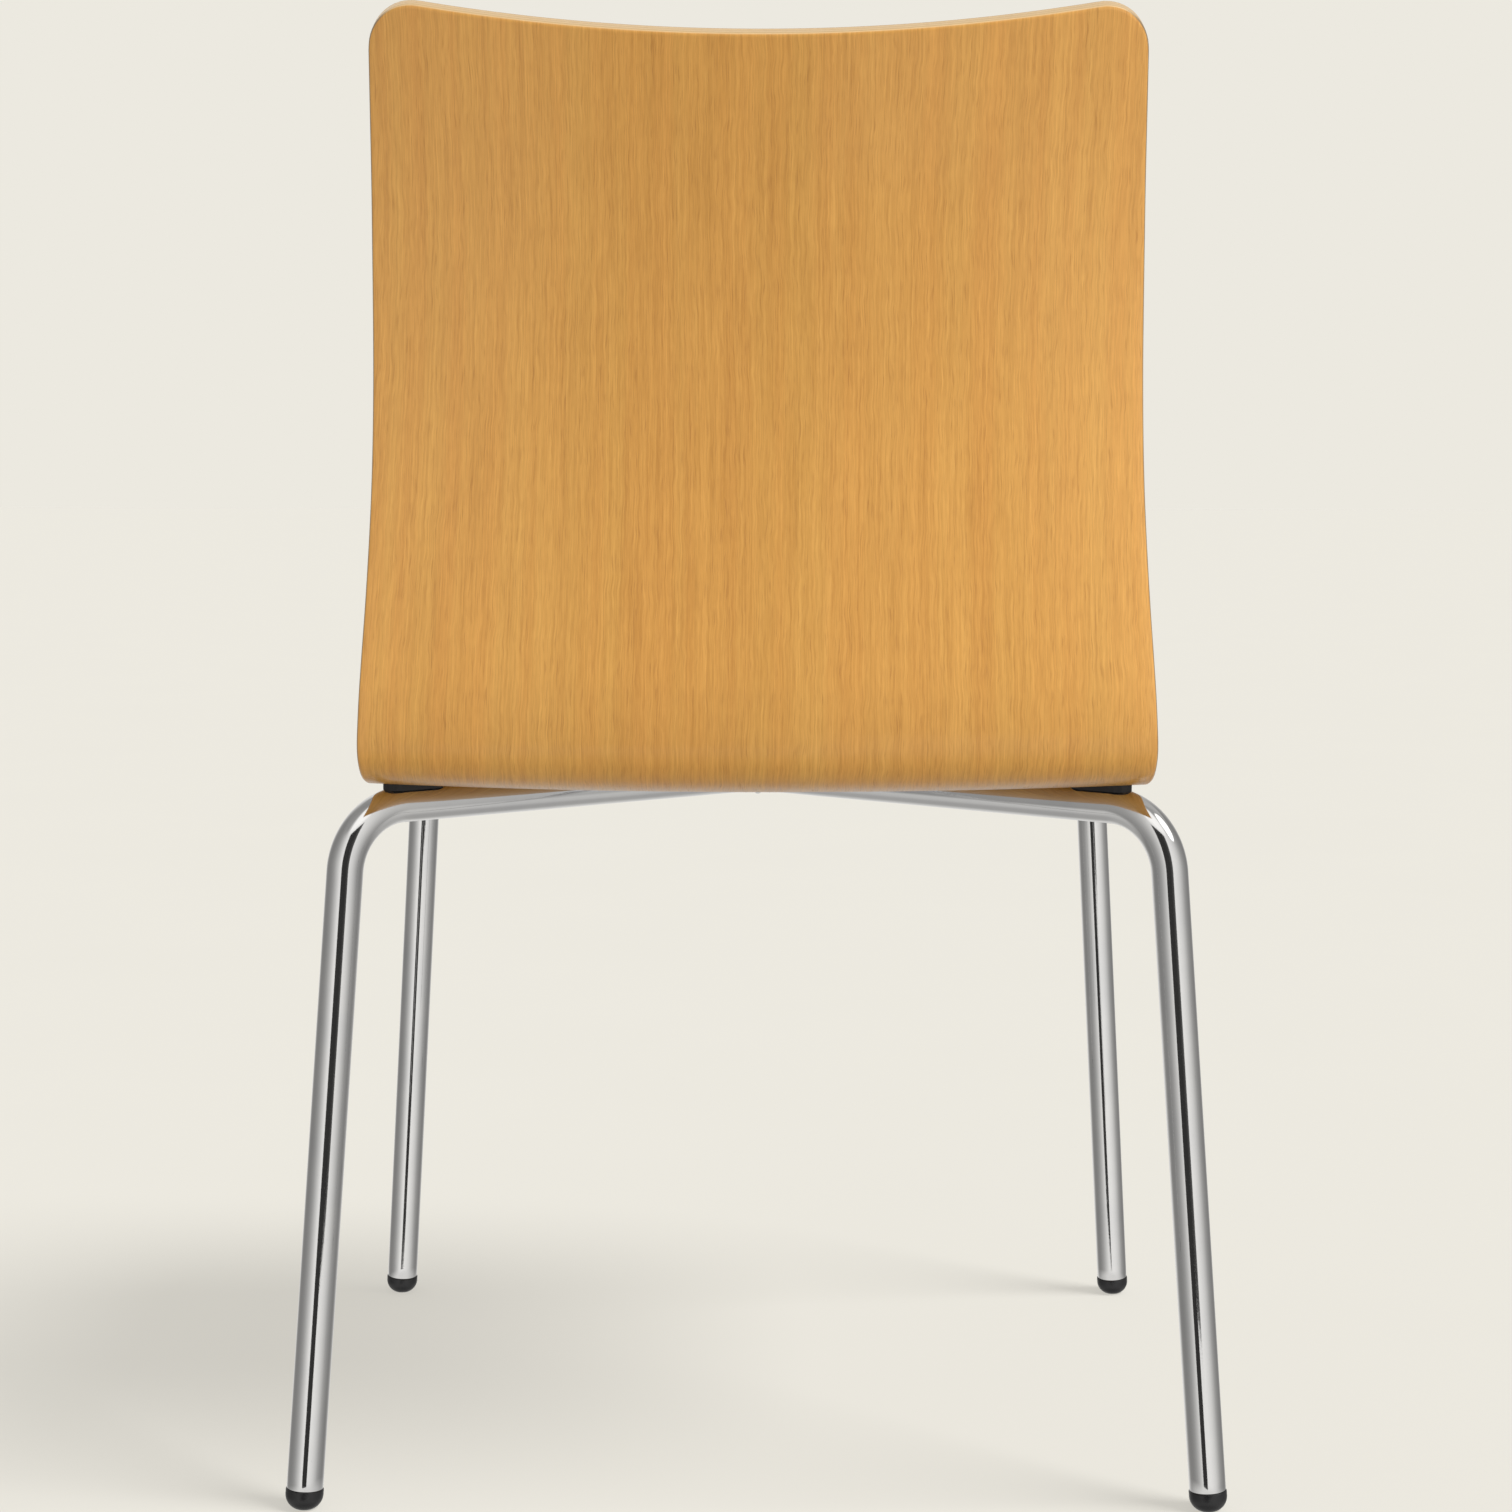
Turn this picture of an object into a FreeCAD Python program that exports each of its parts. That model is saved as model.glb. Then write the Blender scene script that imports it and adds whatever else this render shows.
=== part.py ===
import FreeCAD, Part
import Sketcher
import math
import os

# Stacking chair: one moulded plywood shell on two crossing inverted-U tubes.
# Frame of the row: +Z up, the floor is z = 0, the chair faces -Y, +X is to the
# sitter's left, millimetres. The origin is the bottom centre of the bounding box.

doc = FreeCAD.newDocument("stacking_chair")
V = FreeCAD.Vector

# ---------------------------------------------------------------- dimensions
dims = doc.addObject("Spreadsheet::Sheet", "Dims")
table = [
    # frame of round tube, measured in the vertical plane of each inverted U
    ("tube_od", 20.0), ("tube_wall", 1.5),
    ("frame_turn", 39.525),        # degrees, plane of a U from the X axis
    ("bar_height", 384.4),         # centre line of the level top bar
    ("corner_reach", 288.05),      # centre to the virtual corner, along the plane
    ("leg_splay", 5.13),           # rear legs, degrees from vertical
    ("front_reach", 290.2), ("front_splay", 4.67),   # the same two for the front legs
    ("bend_radius", 37.5), ("leg_end_height", 11.2),
    ("stem_bore_dia", 7.2), ("stem_bore_reach", 246.5), ("stem_bore_depth", 6.0),
    # foot glide
    ("glide_dia", 20.8), ("glide_collar", 3.2), ("glide_corner", 8.6),
    ("glide_stem_dia", 15.8), ("glide_rib_dia", 16.9), ("glide_stem_length", 18.0),
    # pads between tube and shell
    ("pad_long", 37.0), ("pad_wide", 14.0), ("pad_stem_dia", 7.0), ("pad_stem_length", 5.0),
    ("pad_saddle", 1.9), ("pad_rear_blank", 8.5), ("pad_front_blank", 18.4),
    # mounting plate, screws, washers, spacers, inserts
    ("plate_length", 152.0), ("plate_width", 66.0), ("plate_thick", 3.0),
    ("plate_corner", 12.0), ("screw_x", 60.0), ("screw_y", 20.0),
    ("screw_hole_dia", 6.6), ("screw_dia", 6.0), ("screw_length", 15.0),
    ("head_dia", 11.0), ("head_height", 3.6), ("hex_across", 4.0), ("hex_depth", 2.2),
    ("washer_dia", 13.0), ("washer_bore", 6.4), ("washer_thick", 1.2),
    ("spacer_dia", 22.0), ("spacer_blank", 13.0), ("insert_dia", 10.0),
    ("insert_bore", 6.2), ("insert_length", 7.4), ("insert_set_in", 0.6),
    ("screw_front_face", 403.465), ("screw_rear_face", 400.544),
    ("weld_radius", 2.4),
    # shell
    ("shell_thick", 11.0), ("shell_edge_round", 2.0),
    ("low_point_y", 166.8), ("low_point_height", 392.2), ("low_point_arc", 372.0),
    ("front_arc", -10.0), ("front_bow", 9.0), ("front_corner", 46.0),
    ("top_arc", 812.8), ("top_dip", 11.3), ("top_dip_half_width", 185.0),
    ("top_corner", 24.4),
    # row origin: everything is moved by this along Y
    ("y_shift", -13.64),
]
# centre profile of the shell's lower/back face: arc length and slope angle
slope_rows = [(-40, 48), (-10, 43), (20, 30), (48, 12), (90, 0), (135, -3.8), (230, -4.2),
              (330, -3.2), (372, 3.4), (392.3, 12), (451.9, 89), (482.3, 101), (565.6, 98.5),
              (626.5, 91), (697.5, 79), (768.6, 67.5), (849.8, 63.2)]
# lateral rise of that face at 200 mm from the centre
sag_rows = [(-40, 2), (20, 4.5), (80, 7), (180, 8), (300, 7.5), (345, 5.6), (372, 3.95),
            (400.4, 4.55), (474.2, 6.9), (606.2, 13.8), (707.7, 17.7), (849.8, 18.9)]
# half width of the outline
width_rows = [(-40, 205), (-10, 208), (50, 213), (110, 217), (200, 219), (300, 217.6),
              (360, 215), (390.3, 213.8), (421.7, 213.8), (453.9, 212.5), (484.4, 211.1),
              (514.8, 209.6), (545.3, 208.4), (575.7, 207.5), (606.2, 207.0), (636.6, 206.7),
              (667.1, 206.45), (697.5, 205.9), (728.0, 204.9), (758.4, 203.7), (788.9, 202.3),
              (849.8, 199.1)]
for rows, word in ((slope_rows, "slope"), (sag_rows, "rise"), (width_rows, "halfwidth")):
    for k, (a, b) in enumerate(rows):
        table.append(("%s_at_%02d_arc" % (word, k), float(a)))
        table.append(("%s_at_%02d_value" % (word, k), float(b)))
for i, (alias, value) in enumerate(table):
    r = i + 1
    dims.set("A%d" % r, alias)
    dims.set("B%d" % r, repr(value))
    dims.setAlias("B%d" % r, alias)
doc.recompute()


def D(alias):
    return float(dims.get(alias))


def E(text):
    """Turns {name} into a reference to the sheet."""
    out = text
    while "{" in out:
        a = out.index("{")
        b = out.index("}", a)
        out = out[:a] + "Dims." + out[a + 1:b] + out[b + 1:]
    return out


# -------------------------------------------------------------- small helpers
def body(name):
    b = doc.addObject("PartDesign::Body", name)
    b.Label = name
    return b


def plane(b, role):
    for f in b.Origin.OriginFeatures:
        if f.Role == role:
            return f
    raise RuntimeError(role)


def sketch(b, name, role="XY_Plane", offset=None):
    s = b.newObject("Sketcher::SketchObject", name)
    s.AttachmentSupport = [(plane(b, role), "")]
    s.MapMode = "FlatFace"
    if offset:
        s.setExpression("AttachmentOffset.Base.z", E(offset))
    return s


def circle(s, dia):
    g = s.addGeometry(Part.Circle(V(0, 0, 0), V(0, 0, 1), 5.0), False)
    s.addConstraint(Sketcher.Constraint("Coincident", g, 3, -1, 1))
    c = s.addConstraint(Sketcher.Constraint("Diameter", g, 10.0))
    s.setExpression("Constraints[%d]" % c, E(dia))
    return g


def hole_at(s, dia, ex, ey, sx, sy):
    """Circle at (+-ex, +-ey) with a bound diameter and position."""
    g = s.addGeometry(Part.Circle(V(sx * 50.0, sy * 15.0, 0), V(0, 0, 1), 3.0), False)
    c = s.addConstraint(Sketcher.Constraint("Diameter", g, 6.0))
    s.setExpression("Constraints[%d]" % c, E(dia))
    c = s.addConstraint(Sketcher.Constraint("DistanceX", -1, 1, g, 3, sx * 50.0))
    s.setExpression("Constraints[%d]" % c, E(("" if sx > 0 else "-") + ex))
    c = s.addConstraint(Sketcher.Constraint("DistanceY", -1, 1, g, 3, sy * 15.0))
    s.setExpression("Constraints[%d]" % c, E(("" if sy > 0 else "-") + ey))


def profile(s, pts):
    """Closed polygon in a sketch; pts = [(x guess, y guess, x text, y text)].
    Every corner is tied to the origin by bound distances."""
    n = len(pts)
    first = None
    for k in range(n):
        a, b2 = pts[k], pts[(k + 1) % n]
        g = s.addGeometry(Part.LineSegment(V(a[0], a[1], 0), V(b2[0], b2[1], 0)), False)
        if first is None:
            first = g
    for k in range(n):
        s.addConstraint(Sketcher.Constraint("Coincident", first + k, 2, first + (k + 1) % n, 1))
    for k in range(n):
        c = s.addConstraint(Sketcher.Constraint("DistanceX", -1, 1, first + k, 1, pts[k][0]))
        s.setExpression("Constraints[%d]" % c, E(pts[k][2]))
        c = s.addConstraint(Sketcher.Constraint("DistanceY", -1, 1, first + k, 1, pts[k][1]))
        s.setExpression("Constraints[%d]" % c, E(pts[k][3]))


def oblong(s, long, wide, lg, wd):
    """Round-ended outline centred on the origin, its length along X."""
    c, r = (lg - wd) / 2, wd / 2
    top = s.addGeometry(Part.LineSegment(V(-c, r, 0), V(c, r, 0)), False)
    right = s.addGeometry(Part.ArcOfCircle(Part.Circle(V(c, 0, 0), V(0, 0, 1), r),
                                           -math.pi / 2, math.pi / 2), False)
    low = s.addGeometry(Part.LineSegment(V(c, -r, 0), V(-c, -r, 0)), False)
    left = s.addGeometry(Part.ArcOfCircle(Part.Circle(V(-c, 0, 0), V(0, 0, 1), r),
                                          math.pi / 2, 3 * math.pi / 2), False)
    for g1, p1, g2, p2 in ((top, 2, right, 2), (low, 1, right, 1), (top, 1, left, 1), (low, 2, left, 2)):
        s.addConstraint(Sketcher.Constraint("Coincident", g1, p1, g2, p2))
    for g, sgn in ((right, ""), (left, "-")):
        k = s.addConstraint(Sketcher.Constraint("DistanceX", -1, 1, g, 3, -c if sgn else c))
        s.setExpression("Constraints[%d]" % k, E("%s(%s - %s) / 2" % (sgn, long, wide)))
    for x, p, gx in (("", 2, top), ("-", 1, top)):
        k = s.addConstraint(Sketcher.Constraint("DistanceX", -1, 1, gx, p, -c if x else c))
        s.setExpression("Constraints[%d]" % k, E("%s(%s - %s) / 2" % (x, long, wide)))
        k = s.addConstraint(Sketcher.Constraint("DistanceY", -1, 1, gx, p, r))
        s.setExpression("Constraints[%d]" % k, E("%s / 2" % wide))
    for x, p in (("", 1), ("-", 2)):
        k = s.addConstraint(Sketcher.Constraint("DistanceX", -1, 1, low, p, -c if x else c))
        s.setExpression("Constraints[%d]" % k, E("%s(%s - %s) / 2" % (x, long, wide)))
        k = s.addConstraint(Sketcher.Constraint("DistanceY", -1, 1, low, p, -r))
        s.setExpression("Constraints[%d]" % k, E("-%s / 2" % wide))


def revolve(b, s, name):
    r = b.newObject("PartDesign::Revolution", name)
    r.Profile = s
    r.ReferenceAxis = (s, ["V_Axis"])
    r.Angle = 360.0
    return r


def pad(b, s, name, length):
    p = b.newObject("PartDesign::Pad", name)
    p.Profile = s
    p.setExpression("Length", E(length))
    return p


def place(o, x, y, z, yaw=None, tilt=None, roll=None):
    """Bound placement: position texts, yaw about Z in degrees."""
    o.setExpression("Placement.Base.x", E(x))
    o.setExpression("Placement.Base.y", E(y))
    o.setExpression("Placement.Base.z", E(z))
    if yaw is not None:
        o.Placement = FreeCAD.Placement(o.Placement.Base, FreeCAD.Rotation(V(0, 0, 1), yaw))
        o.setExpression("Placement.Base.x", E(x))
        o.setExpression("Placement.Base.y", E(y))
        o.setExpression("Placement.Base.z", E(z))


nodes = []

# ------------------------------------------------------------- the two U tubes
TURN = "{frame_turn}"
R_BEND = D("bend_radius")
BAR = D("bar_height")


def side_words(rear):
    """Names of the reach and splay cells of the rear or the front half of a U."""
    return ("corner_reach", "leg_splay") if rear else ("front_reach", "front_splay")


def half_path(b, name, sx):
    """Centre line of one half of a U in the local XZ plane: bar, bend, leg.
    The bar starts at the centre. sx = +1 or -1."""
    s = sketch(b, name, "XZ_Plane")
    word_r, word_s = side_words(sx > 0)
    reach, splay = D(word_r), math.radians(D(word_s))
    tan_len = R_BEND * math.tan((math.pi / 2 - splay) / 2)
    xa = reach - tan_len
    leg_len = (BAR - D("leg_end_height")) / math.cos(splay)
    c = V(sx * xa, -R_BEND, 0)
    # end of bend
    ang = math.pi / 2 - splay
    e = V(sx * (xa + R_BEND * math.sin(ang)), -R_BEND + R_BEND * math.cos(ang), 0)
    foot = V(sx * (reach + leg_len * math.sin(splay)), -leg_len * math.cos(splay), 0)
    bar = s.addGeometry(Part.LineSegment(V(0, 0, 0), V(sx * xa, 0, 0)), False)
    if sx > 0:
        arc = Part.ArcOfCircle(Part.Circle(c, V(0, 0, 1), R_BEND), splay, math.pi / 2)
    else:
        arc = Part.ArcOfCircle(Part.Circle(c, V(0, 0, 1), R_BEND), math.pi / 2, math.pi - splay)
    bend = s.addGeometry(arc, False)
    leg = s.addGeometry(Part.LineSegment(e, foot), False)
    hi, lo = (2, 1) if sx > 0 else (1, 2)
    s.addConstraint(Sketcher.Constraint("Coincident", bar, 1, -1, 1))
    s.addConstraint(Sketcher.Constraint("Horizontal", bar))
    s.addConstraint(Sketcher.Constraint("Tangent", bar, 2, bend, hi))
    s.addConstraint(Sketcher.Constraint("Tangent", leg, 1, bend, lo))
    k = s.addConstraint(Sketcher.Constraint("Radius", bend, R_BEND))
    s.setExpression("Constraints[%d]" % k, E("{bend_radius}"))
    reach_text, splay_text = "{%s}" % word_r, "{%s} * 1 deg" % word_s
    k = s.addConstraint(Sketcher.Constraint("Distance", bar, xa))
    s.setExpression("Constraints[%d]" % k,
                    E(reach_text + " - {bend_radius} * tan((90 deg - " + splay_text + ") / 2)"))
    drop = BAR - D("leg_end_height") - R_BEND * (1 - math.sin(splay))
    drop_text = "({bar_height} - {leg_end_height} - {bend_radius} * (1 - sin(" + splay_text + ")))"
    k = s.addConstraint(Sketcher.Constraint("DistanceY", leg, 2, leg, 1, drop))
    s.setExpression("Constraints[%d]" % k, E(drop_text))
    k = s.addConstraint(Sketcher.Constraint("DistanceX", bend, lo, leg, 2, sx * drop * math.tan(splay)))
    s.setExpression("Constraints[%d]" % k,
                    E(("" if sx > 0 else "-") + drop_text + " * tan(" + splay_text + ")"))
    return s


def u_tube(name, yaw, sides):
    b = body(name + "_tube")
    ring = sketch(b, name + "_ring", "YZ_Plane")
    circle(ring, "{tube_od}")
    g = ring.addGeometry(Part.Circle(V(0, 0, 0), V(0, 0, 1), 4.0), False)
    ring.addConstraint(Sketcher.Constraint("Coincident", g, 3, -1, 1))
    c = ring.addConstraint(Sketcher.Constraint("Diameter", g, 8.0))
    ring.setExpression("Constraints[%d]" % c, E("{tube_od} - 2 * {tube_wall}"))
    for k, sx in enumerate(sides):
        path = half_path(b, "%s_line_%d" % (name, k), sx)
        doc.recompute()
        pipe = b.newObject("PartDesign::AdditivePipe", "%s_pipe_%d" % (name, k))
        pipe.Profile = ring
        pipe.Spine = (path, [])
        pipe.Mode = "Standard"
        pipe.Transition = "Round corner"
    place(b, "0", "{y_shift}", "{bar_height}", yaw)
    doc.recompute()
    return b


yaw_a = D("frame_turn")
yaw_b = 180.0 - D("frame_turn")

through = u_tube("through", yaw_a, (1, -1))
half_l = u_tube("half_left", yaw_b, (-1,))      # towards +X, front
half_r = u_tube("half_right", yaw_b, (1,))      # towards -X, rear


def bore_tool(name, reach_sign, yaw):
    """Cylinder that opens the top wall of a tube for a pad stem."""
    cyl = doc.addObject("Part::Cylinder", name)
    cyl.setExpression("Radius", E("{stem_bore_dia} / 2"))
    cyl.setExpression("Height", E("{stem_bore_depth} + 4"))
    ang = math.radians(yaw)
    cyl.setExpression("Placement.Base.x", E("%s{stem_bore_reach} * %s" % (
        "" if reach_sign > 0 else "-", "%.9f" % math.cos(ang))))
    cyl.setExpression("Placement.Base.y", E("%s{stem_bore_reach} * %s + {y_shift}" % (
        "" if reach_sign > 0 else "-", "%.9f" % math.sin(ang))))
    cyl.setExpression("Placement.Base.z", E("{bar_height} + {tube_od} / 2 - {stem_bore_depth}"))
    return cyl


def cut(name, base, tool, node=False):
    c = doc.addObject("Part::Cut", name)
    c.Base = base
    c.Tool = tool
    c.Label = name
    doc.recompute()
    return c


def fuse(name, shapes):
    f = doc.addObject("Part::MultiFuse", name)
    f.Shapes = shapes
    doc.recompute()
    return f


t1 = bore_tool("bore_through_a", 1, yaw_a)
t2 = bore_tool("bore_through_b", -1, yaw_a)
n = cut("leg_tube_through", through, fuse("bores_through", [t1, t2]))
nodes.append(n)

# The crossing U is two half tubes, each coped to the outside of the through tube.
core = doc.addObject("Part::Cylinder", "cope_core")
core.setExpression("Radius", E("{tube_od} / 2"))
core.setExpression("Height", E("4 * {tube_od}"))
core.Placement = FreeCAD.Placement(V(0, 0, 0), FreeCAD.Rotation(V(0, 0, 1), yaw_a)
                                   * FreeCAD.Rotation(V(0, 1, 0), 90))
core.setExpression("Placement.Base.x", E("-2 * {tube_od} * %.9f" % math.cos(math.radians(yaw_a))))
core.setExpression("Placement.Base.y", E("-2 * {tube_od} * %.9f + {y_shift}" % math.sin(math.radians(yaw_a))))
core.setExpression("Placement.Base.z", E("{bar_height}"))
doc.recompute()
t3 = bore_tool("bore_half_left", -1, yaw_b)
t4 = bore_tool("bore_half_right", 1, yaw_b)
half_nodes = []
for nm, b, t in (("leg_tube_half_left", half_l, t3), ("leg_tube_half_right", half_r, t4)):
    c = cut(nm, b, fuse(nm + "_tools", [core, t]))
    nodes.append(c)
    half_nodes.append(c)

# -------------------------------------------------------------- plywood shell
def rows_of(word, count):
    return ([D("%s_at_%02d_arc" % (word, k)) for k in range(count)],
            [D("%s_at_%02d_value" % (word, k)) for k in range(count)])


def smooth(xs, ys):
    """Monotone cubic through a table."""
    m = len(xs)
    h = [xs[i + 1] - xs[i] for i in range(m - 1)]
    dl = [(ys[i + 1] - ys[i]) / h[i] for i in range(m - 1)]
    g = [0.0] * m
    for i in range(1, m - 1):
        if dl[i - 1] * dl[i] > 0:
            w1 = 2 * h[i] + h[i - 1]
            w2 = h[i] + 2 * h[i - 1]
            g[i] = (w1 + w2) / (w1 / dl[i - 1] + w2 / dl[i])
    g[0], g[-1] = dl[0], dl[-1]

    def f(q):
        q = min(max(q, xs[0]), xs[-1])
        i = 0
        while i < m - 2 and q > xs[i + 1]:
            i += 1
        u = (q - xs[i]) / h[i]
        return ((1 + 2 * u) * (1 - u) ** 2 * ys[i] + u * (1 - u) ** 2 * h[i] * g[i]
                + u * u * (3 - 2 * u) * ys[i + 1] + u * u * (u - 1) * h[i] * g[i + 1])
    return f


f_slope = smooth(*rows_of("slope", len(slope_rows)))
f_rise = smooth(*rows_of("rise", len(sag_rows)))
f_half = smooth(*rows_of("halfwidth", len(width_rows)))

S0, S1, STEP = -38.0, 844.0, 1.0
count = int((S1 - S0) / STEP)
arcs = [S0 + STEP * i for i in range(count + 1)]
ang = [math.radians(f_slope(a)) for a in arcs]
cy, cz = [0.0], [0.0]
for i in range(count):
    mid = math.radians(f_slope(arcs[i] + STEP / 2))
    cy.append(cy[-1] + STEP * (math.cos(ang[i]) + 4 * math.cos(mid) + math.cos(ang[i + 1])) / 6)
    cz.append(cz[-1] + STEP * (math.sin(ang[i]) + 4 * math.sin(mid) + math.sin(ang[i + 1])) / 6)
k0 = int(round((D("low_point_arc") - S0) / STEP))
oy, oz = D("low_point_y") - cy[k0], D("low_point_height") - cz[k0]
cy = [q + oy for q in cy]
cz = [q + oz for q in cz]

HALF = 232.0
knots_at = list(range(0, count + 1, 8))
if knots_at[-1] != count:
    knots_at.append(count)
params = [arcs[i] for i in knots_at]


def control_rows(offset):
    rows = []
    for x, sign in ((-HALF, 1.0), (0.0, -1.0), (HALF, 1.0)):
        pts = []
        for i in knots_at:
            d = sign * f_rise(arcs[i]) * (HALF / 200.0) ** 2 + offset
            pts.append(V(x, cy[i] - math.sin(ang[i]) * d, cz[i] + math.cos(ang[i]) * d))
        c = Part.BSplineCurve()
        c.interpolate(Points=pts, Parameters=params)
        rows.append(c)
    return rows


def sheet(offset):
    rows = control_rows(offset)
    surf = Part.BSplineSurface()
    surf.buildFromPolesMultsKnots([r.getPoles() for r in rows], [3, 3],
                                  rows[0].getMultiplicities(), [-HALF, HALF],
                                  rows[0].getKnots(), False, False, 2, rows[0].Degree)
    return surf


def f_front(x):
    return D("front_arc") + D("front_bow") * (x / 200.0) ** 2


def f_top(x):
    return D("top_arc") + D("top_dip") * (x / D("top_dip_half_width")) ** 2


def corner(f_edge, r, up, f_half):
    """Centre and tangent points of the round between the right side and an edge."""
    sgn = 1.0 if up else -1.0
    cx, cs = 180.0, f_edge(180.0) - sgn * r
    for _ in range(60):
        ms = (f_edge(cx + 0.5) - f_edge(cx - 0.5))
        mw = (f_half(cs + 0.5) - f_half(cs - 0.5))
        cs = f_edge(cx) - sgn * r * math.sqrt(1 + ms * ms)
        cx = f_half(cs) - r * math.sqrt(1 + mw * mw)
    te = (cx - sgn * ms * r / math.sqrt(1 + ms * ms), cs + sgn * r / math.sqrt(1 + ms * ms))
    tw = (cx + r / math.sqrt(1 + mw * mw), cs - mw * r / math.sqrt(1 + mw * mw))
    return (cx, cs), te, tw


def arc_points(c, r, a, b, m=13):
    a0 = math.atan2(a[1] - c[1], a[0] - c[0])
    a1 = math.atan2(b[1] - c[1], b[0] - c[0])
    return [(c[0] + r * math.cos(a0 + (a1 - a0) * i / (m - 1)),
             c[1] + r * math.sin(a0 + (a1 - a0) * i / (m - 1))) for i in range(m)]


def outline(inset):
    """Loop of lists of (x, arc) points, moved inwards by the inset."""
    def half(a):
        return f_half(a) - inset

    def front_edge(x):
        return f_front(x) + inset

    def top_edge(x):
        return f_top(x) - inset
    r_front, r_top = D("front_corner") - inset, D("top_corner") - inset
    cf, ef, wf = corner(front_edge, r_front, False, half)
    ct, et, wt = corner(top_edge, r_top, True, half)
    m = 60
    side = [(half(wf[1] + (wt[1] - wf[1]) * i / m), wf[1] + (wt[1] - wf[1]) * i / m)
            for i in range(m + 1)]
    side[0], side[-1] = wf, wt
    top = [(et[0] - 2 * et[0] * i / 24, top_edge(et[0] - 2 * et[0] * i / 24)) for i in range(25)]
    top[0], top[-1] = et, (-et[0], et[1])
    front = [(-ef[0] + 2 * ef[0] * i / 24, front_edge(-ef[0] + 2 * ef[0] * i / 24)) for i in range(25)]
    front[0], front[-1] = (-ef[0], ef[1]), ef
    c1 = arc_points(cf, r_front, ef, wf)
    c1[0], c1[-1] = ef, wf
    c2 = arc_points(ct, r_top, wt, et)
    c2[0], c2[-1] = wt, et

    def flip(p):
        return [(-x, a) for x, a in reversed(p)]
    return [front, c1, side, c2, top, flip(c2), flip(side), flip(c1)]


def shell_shape():
    """Lower and upper face, joined by a rim with an eased edge on both faces."""
    ease, thick = D("shell_edge_round"), D("shell_thick")
    faces, loops = [], []
    for depth, inset in ((0.0, ease), (ease, 0.0), (thick - ease, 0.0), (thick, ease)):
        surf = sheet(depth)
        edges = []
        for pts in outline(inset):
            curve = Part.Geom2d.BSplineCurve2d()
            curve.interpolate([FreeCAD.Base.Vector2d(x, a) for x, a in pts])
            edges.append(curve.toShape(surf))
        loops.append(edges)
        if inset > 0:
            f = Part.Face(surf, Part.Wire(Part.__sortEdges__(edges)))
            f.validate()
            faces.append(f)
    for lower, upper in zip(loops[:-1], loops[1:]):
        for a, b in zip(lower, upper):
            faces.append(Part.makeRuledSurface(a, b))
    sh = Part.makeShell(faces)
    sh.sewShape()
    solid = Part.makeSolid(sh)
    if solid.Volume < 0:
        solid.reverse()
    return solid


raw = shell_shape()
shell_blank = doc.addObject("Part::Feature", "shell_blank")
shell_blank.Shape = raw
shell_blank.Placement = FreeCAD.Placement(V(0, D("y_shift"), 0), FreeCAD.Rotation())
doc.recompute()
print("shell", raw.isValid(), raw.Volume, len(raw.Faces))


def face_low_at(x, y):
    """Height of the shell's lower face above a point of the floor, row frame."""
    line = Part.makeLine(V(x, y, 300), V(x, y, 440))
    hit = shell_blank.Shape.common(line)
    return min(v.Z for v in hit.Vertexes)


def cut_node(name, base, tools):
    tool = tools[0] if len(tools) == 1 else fuse(name + "_tools", tools)
    c = cut(name, base, tool)
    nodes.append(c)
    return c


SCREWS = [("front_left", 1, -1), ("front_right", -1, -1), ("rear_left", 1, 1), ("rear_right", -1, 1)]


def screw_axis(sx, sy):
    return (("" if sx > 0 else "-") + "{screw_x}", ("" if sy > 0 else "-") + "{screw_y} + {y_shift}")


# blind bores for the threaded inserts
bores = []
for nm, sx, sy in SCREWS:
    x, y = screw_axis(sx, sy)
    face = "{screw_rear_face}" if sy > 0 else "{screw_front_face}"
    measured = face_low_at(sx * D("screw_x"), sy * D("screw_y") + D("y_shift"))
    print(nm, "face over the screw", measured)
    cyl = doc.addObject("Part::Cylinder", "bore_" + nm)
    cyl.setExpression("Radius", E("{insert_dia} / 2"))
    cyl.setExpression("Height", E("{insert_length} + {insert_set_in} + 6"))
    place(cyl, x, y, face + " - 6")
    bores.append(cyl)
doc.recompute()
shell_node = cut_node("plywood_shell", shell_blank, bores)

# ------------------------------------------------------------- centre plate
b = body("centre_plate")
s = sketch(b, "centre_plate_face")
profile(s, [(-70, -30, "-{plate_length} / 2", "-{plate_width} / 2"),
            (70, -30, "{plate_length} / 2", "-{plate_width} / 2"),
            (70, 30, "{plate_length} / 2", "{plate_width} / 2"),
            (-70, 30, "-{plate_length} / 2", "{plate_width} / 2")])
for nm, sx, sy in SCREWS:
    hole_at(s, "{screw_hole_dia}", "{screw_x}", "{screw_y}", sx, sy)
p = pad(b, s, "centre_plate_pad", "{plate_thick}")
doc.recompute()
upright = [k + 1 for k, e in enumerate(p.Shape.Edges)
           if len(e.Vertexes) == 2 and abs(e.Vertexes[0].X - e.Vertexes[1].X) < 1e-6
           and abs(e.Vertexes[0].Y - e.Vertexes[1].Y) < 1e-6
           and abs(e.Vertexes[0].X) > D("plate_length") / 2 - 0.1]
f = b.newObject("PartDesign::Fillet", "centre_plate_corners")
f.Base = (p, ["Edge%d" % k for k in upright])
f.setExpression("Radius", E("{plate_corner}"))
place(b, "0", "{y_shift}", "{bar_height} + {tube_od} / 2")
doc.recompute()
nodes.append(b)
plate = b

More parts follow.
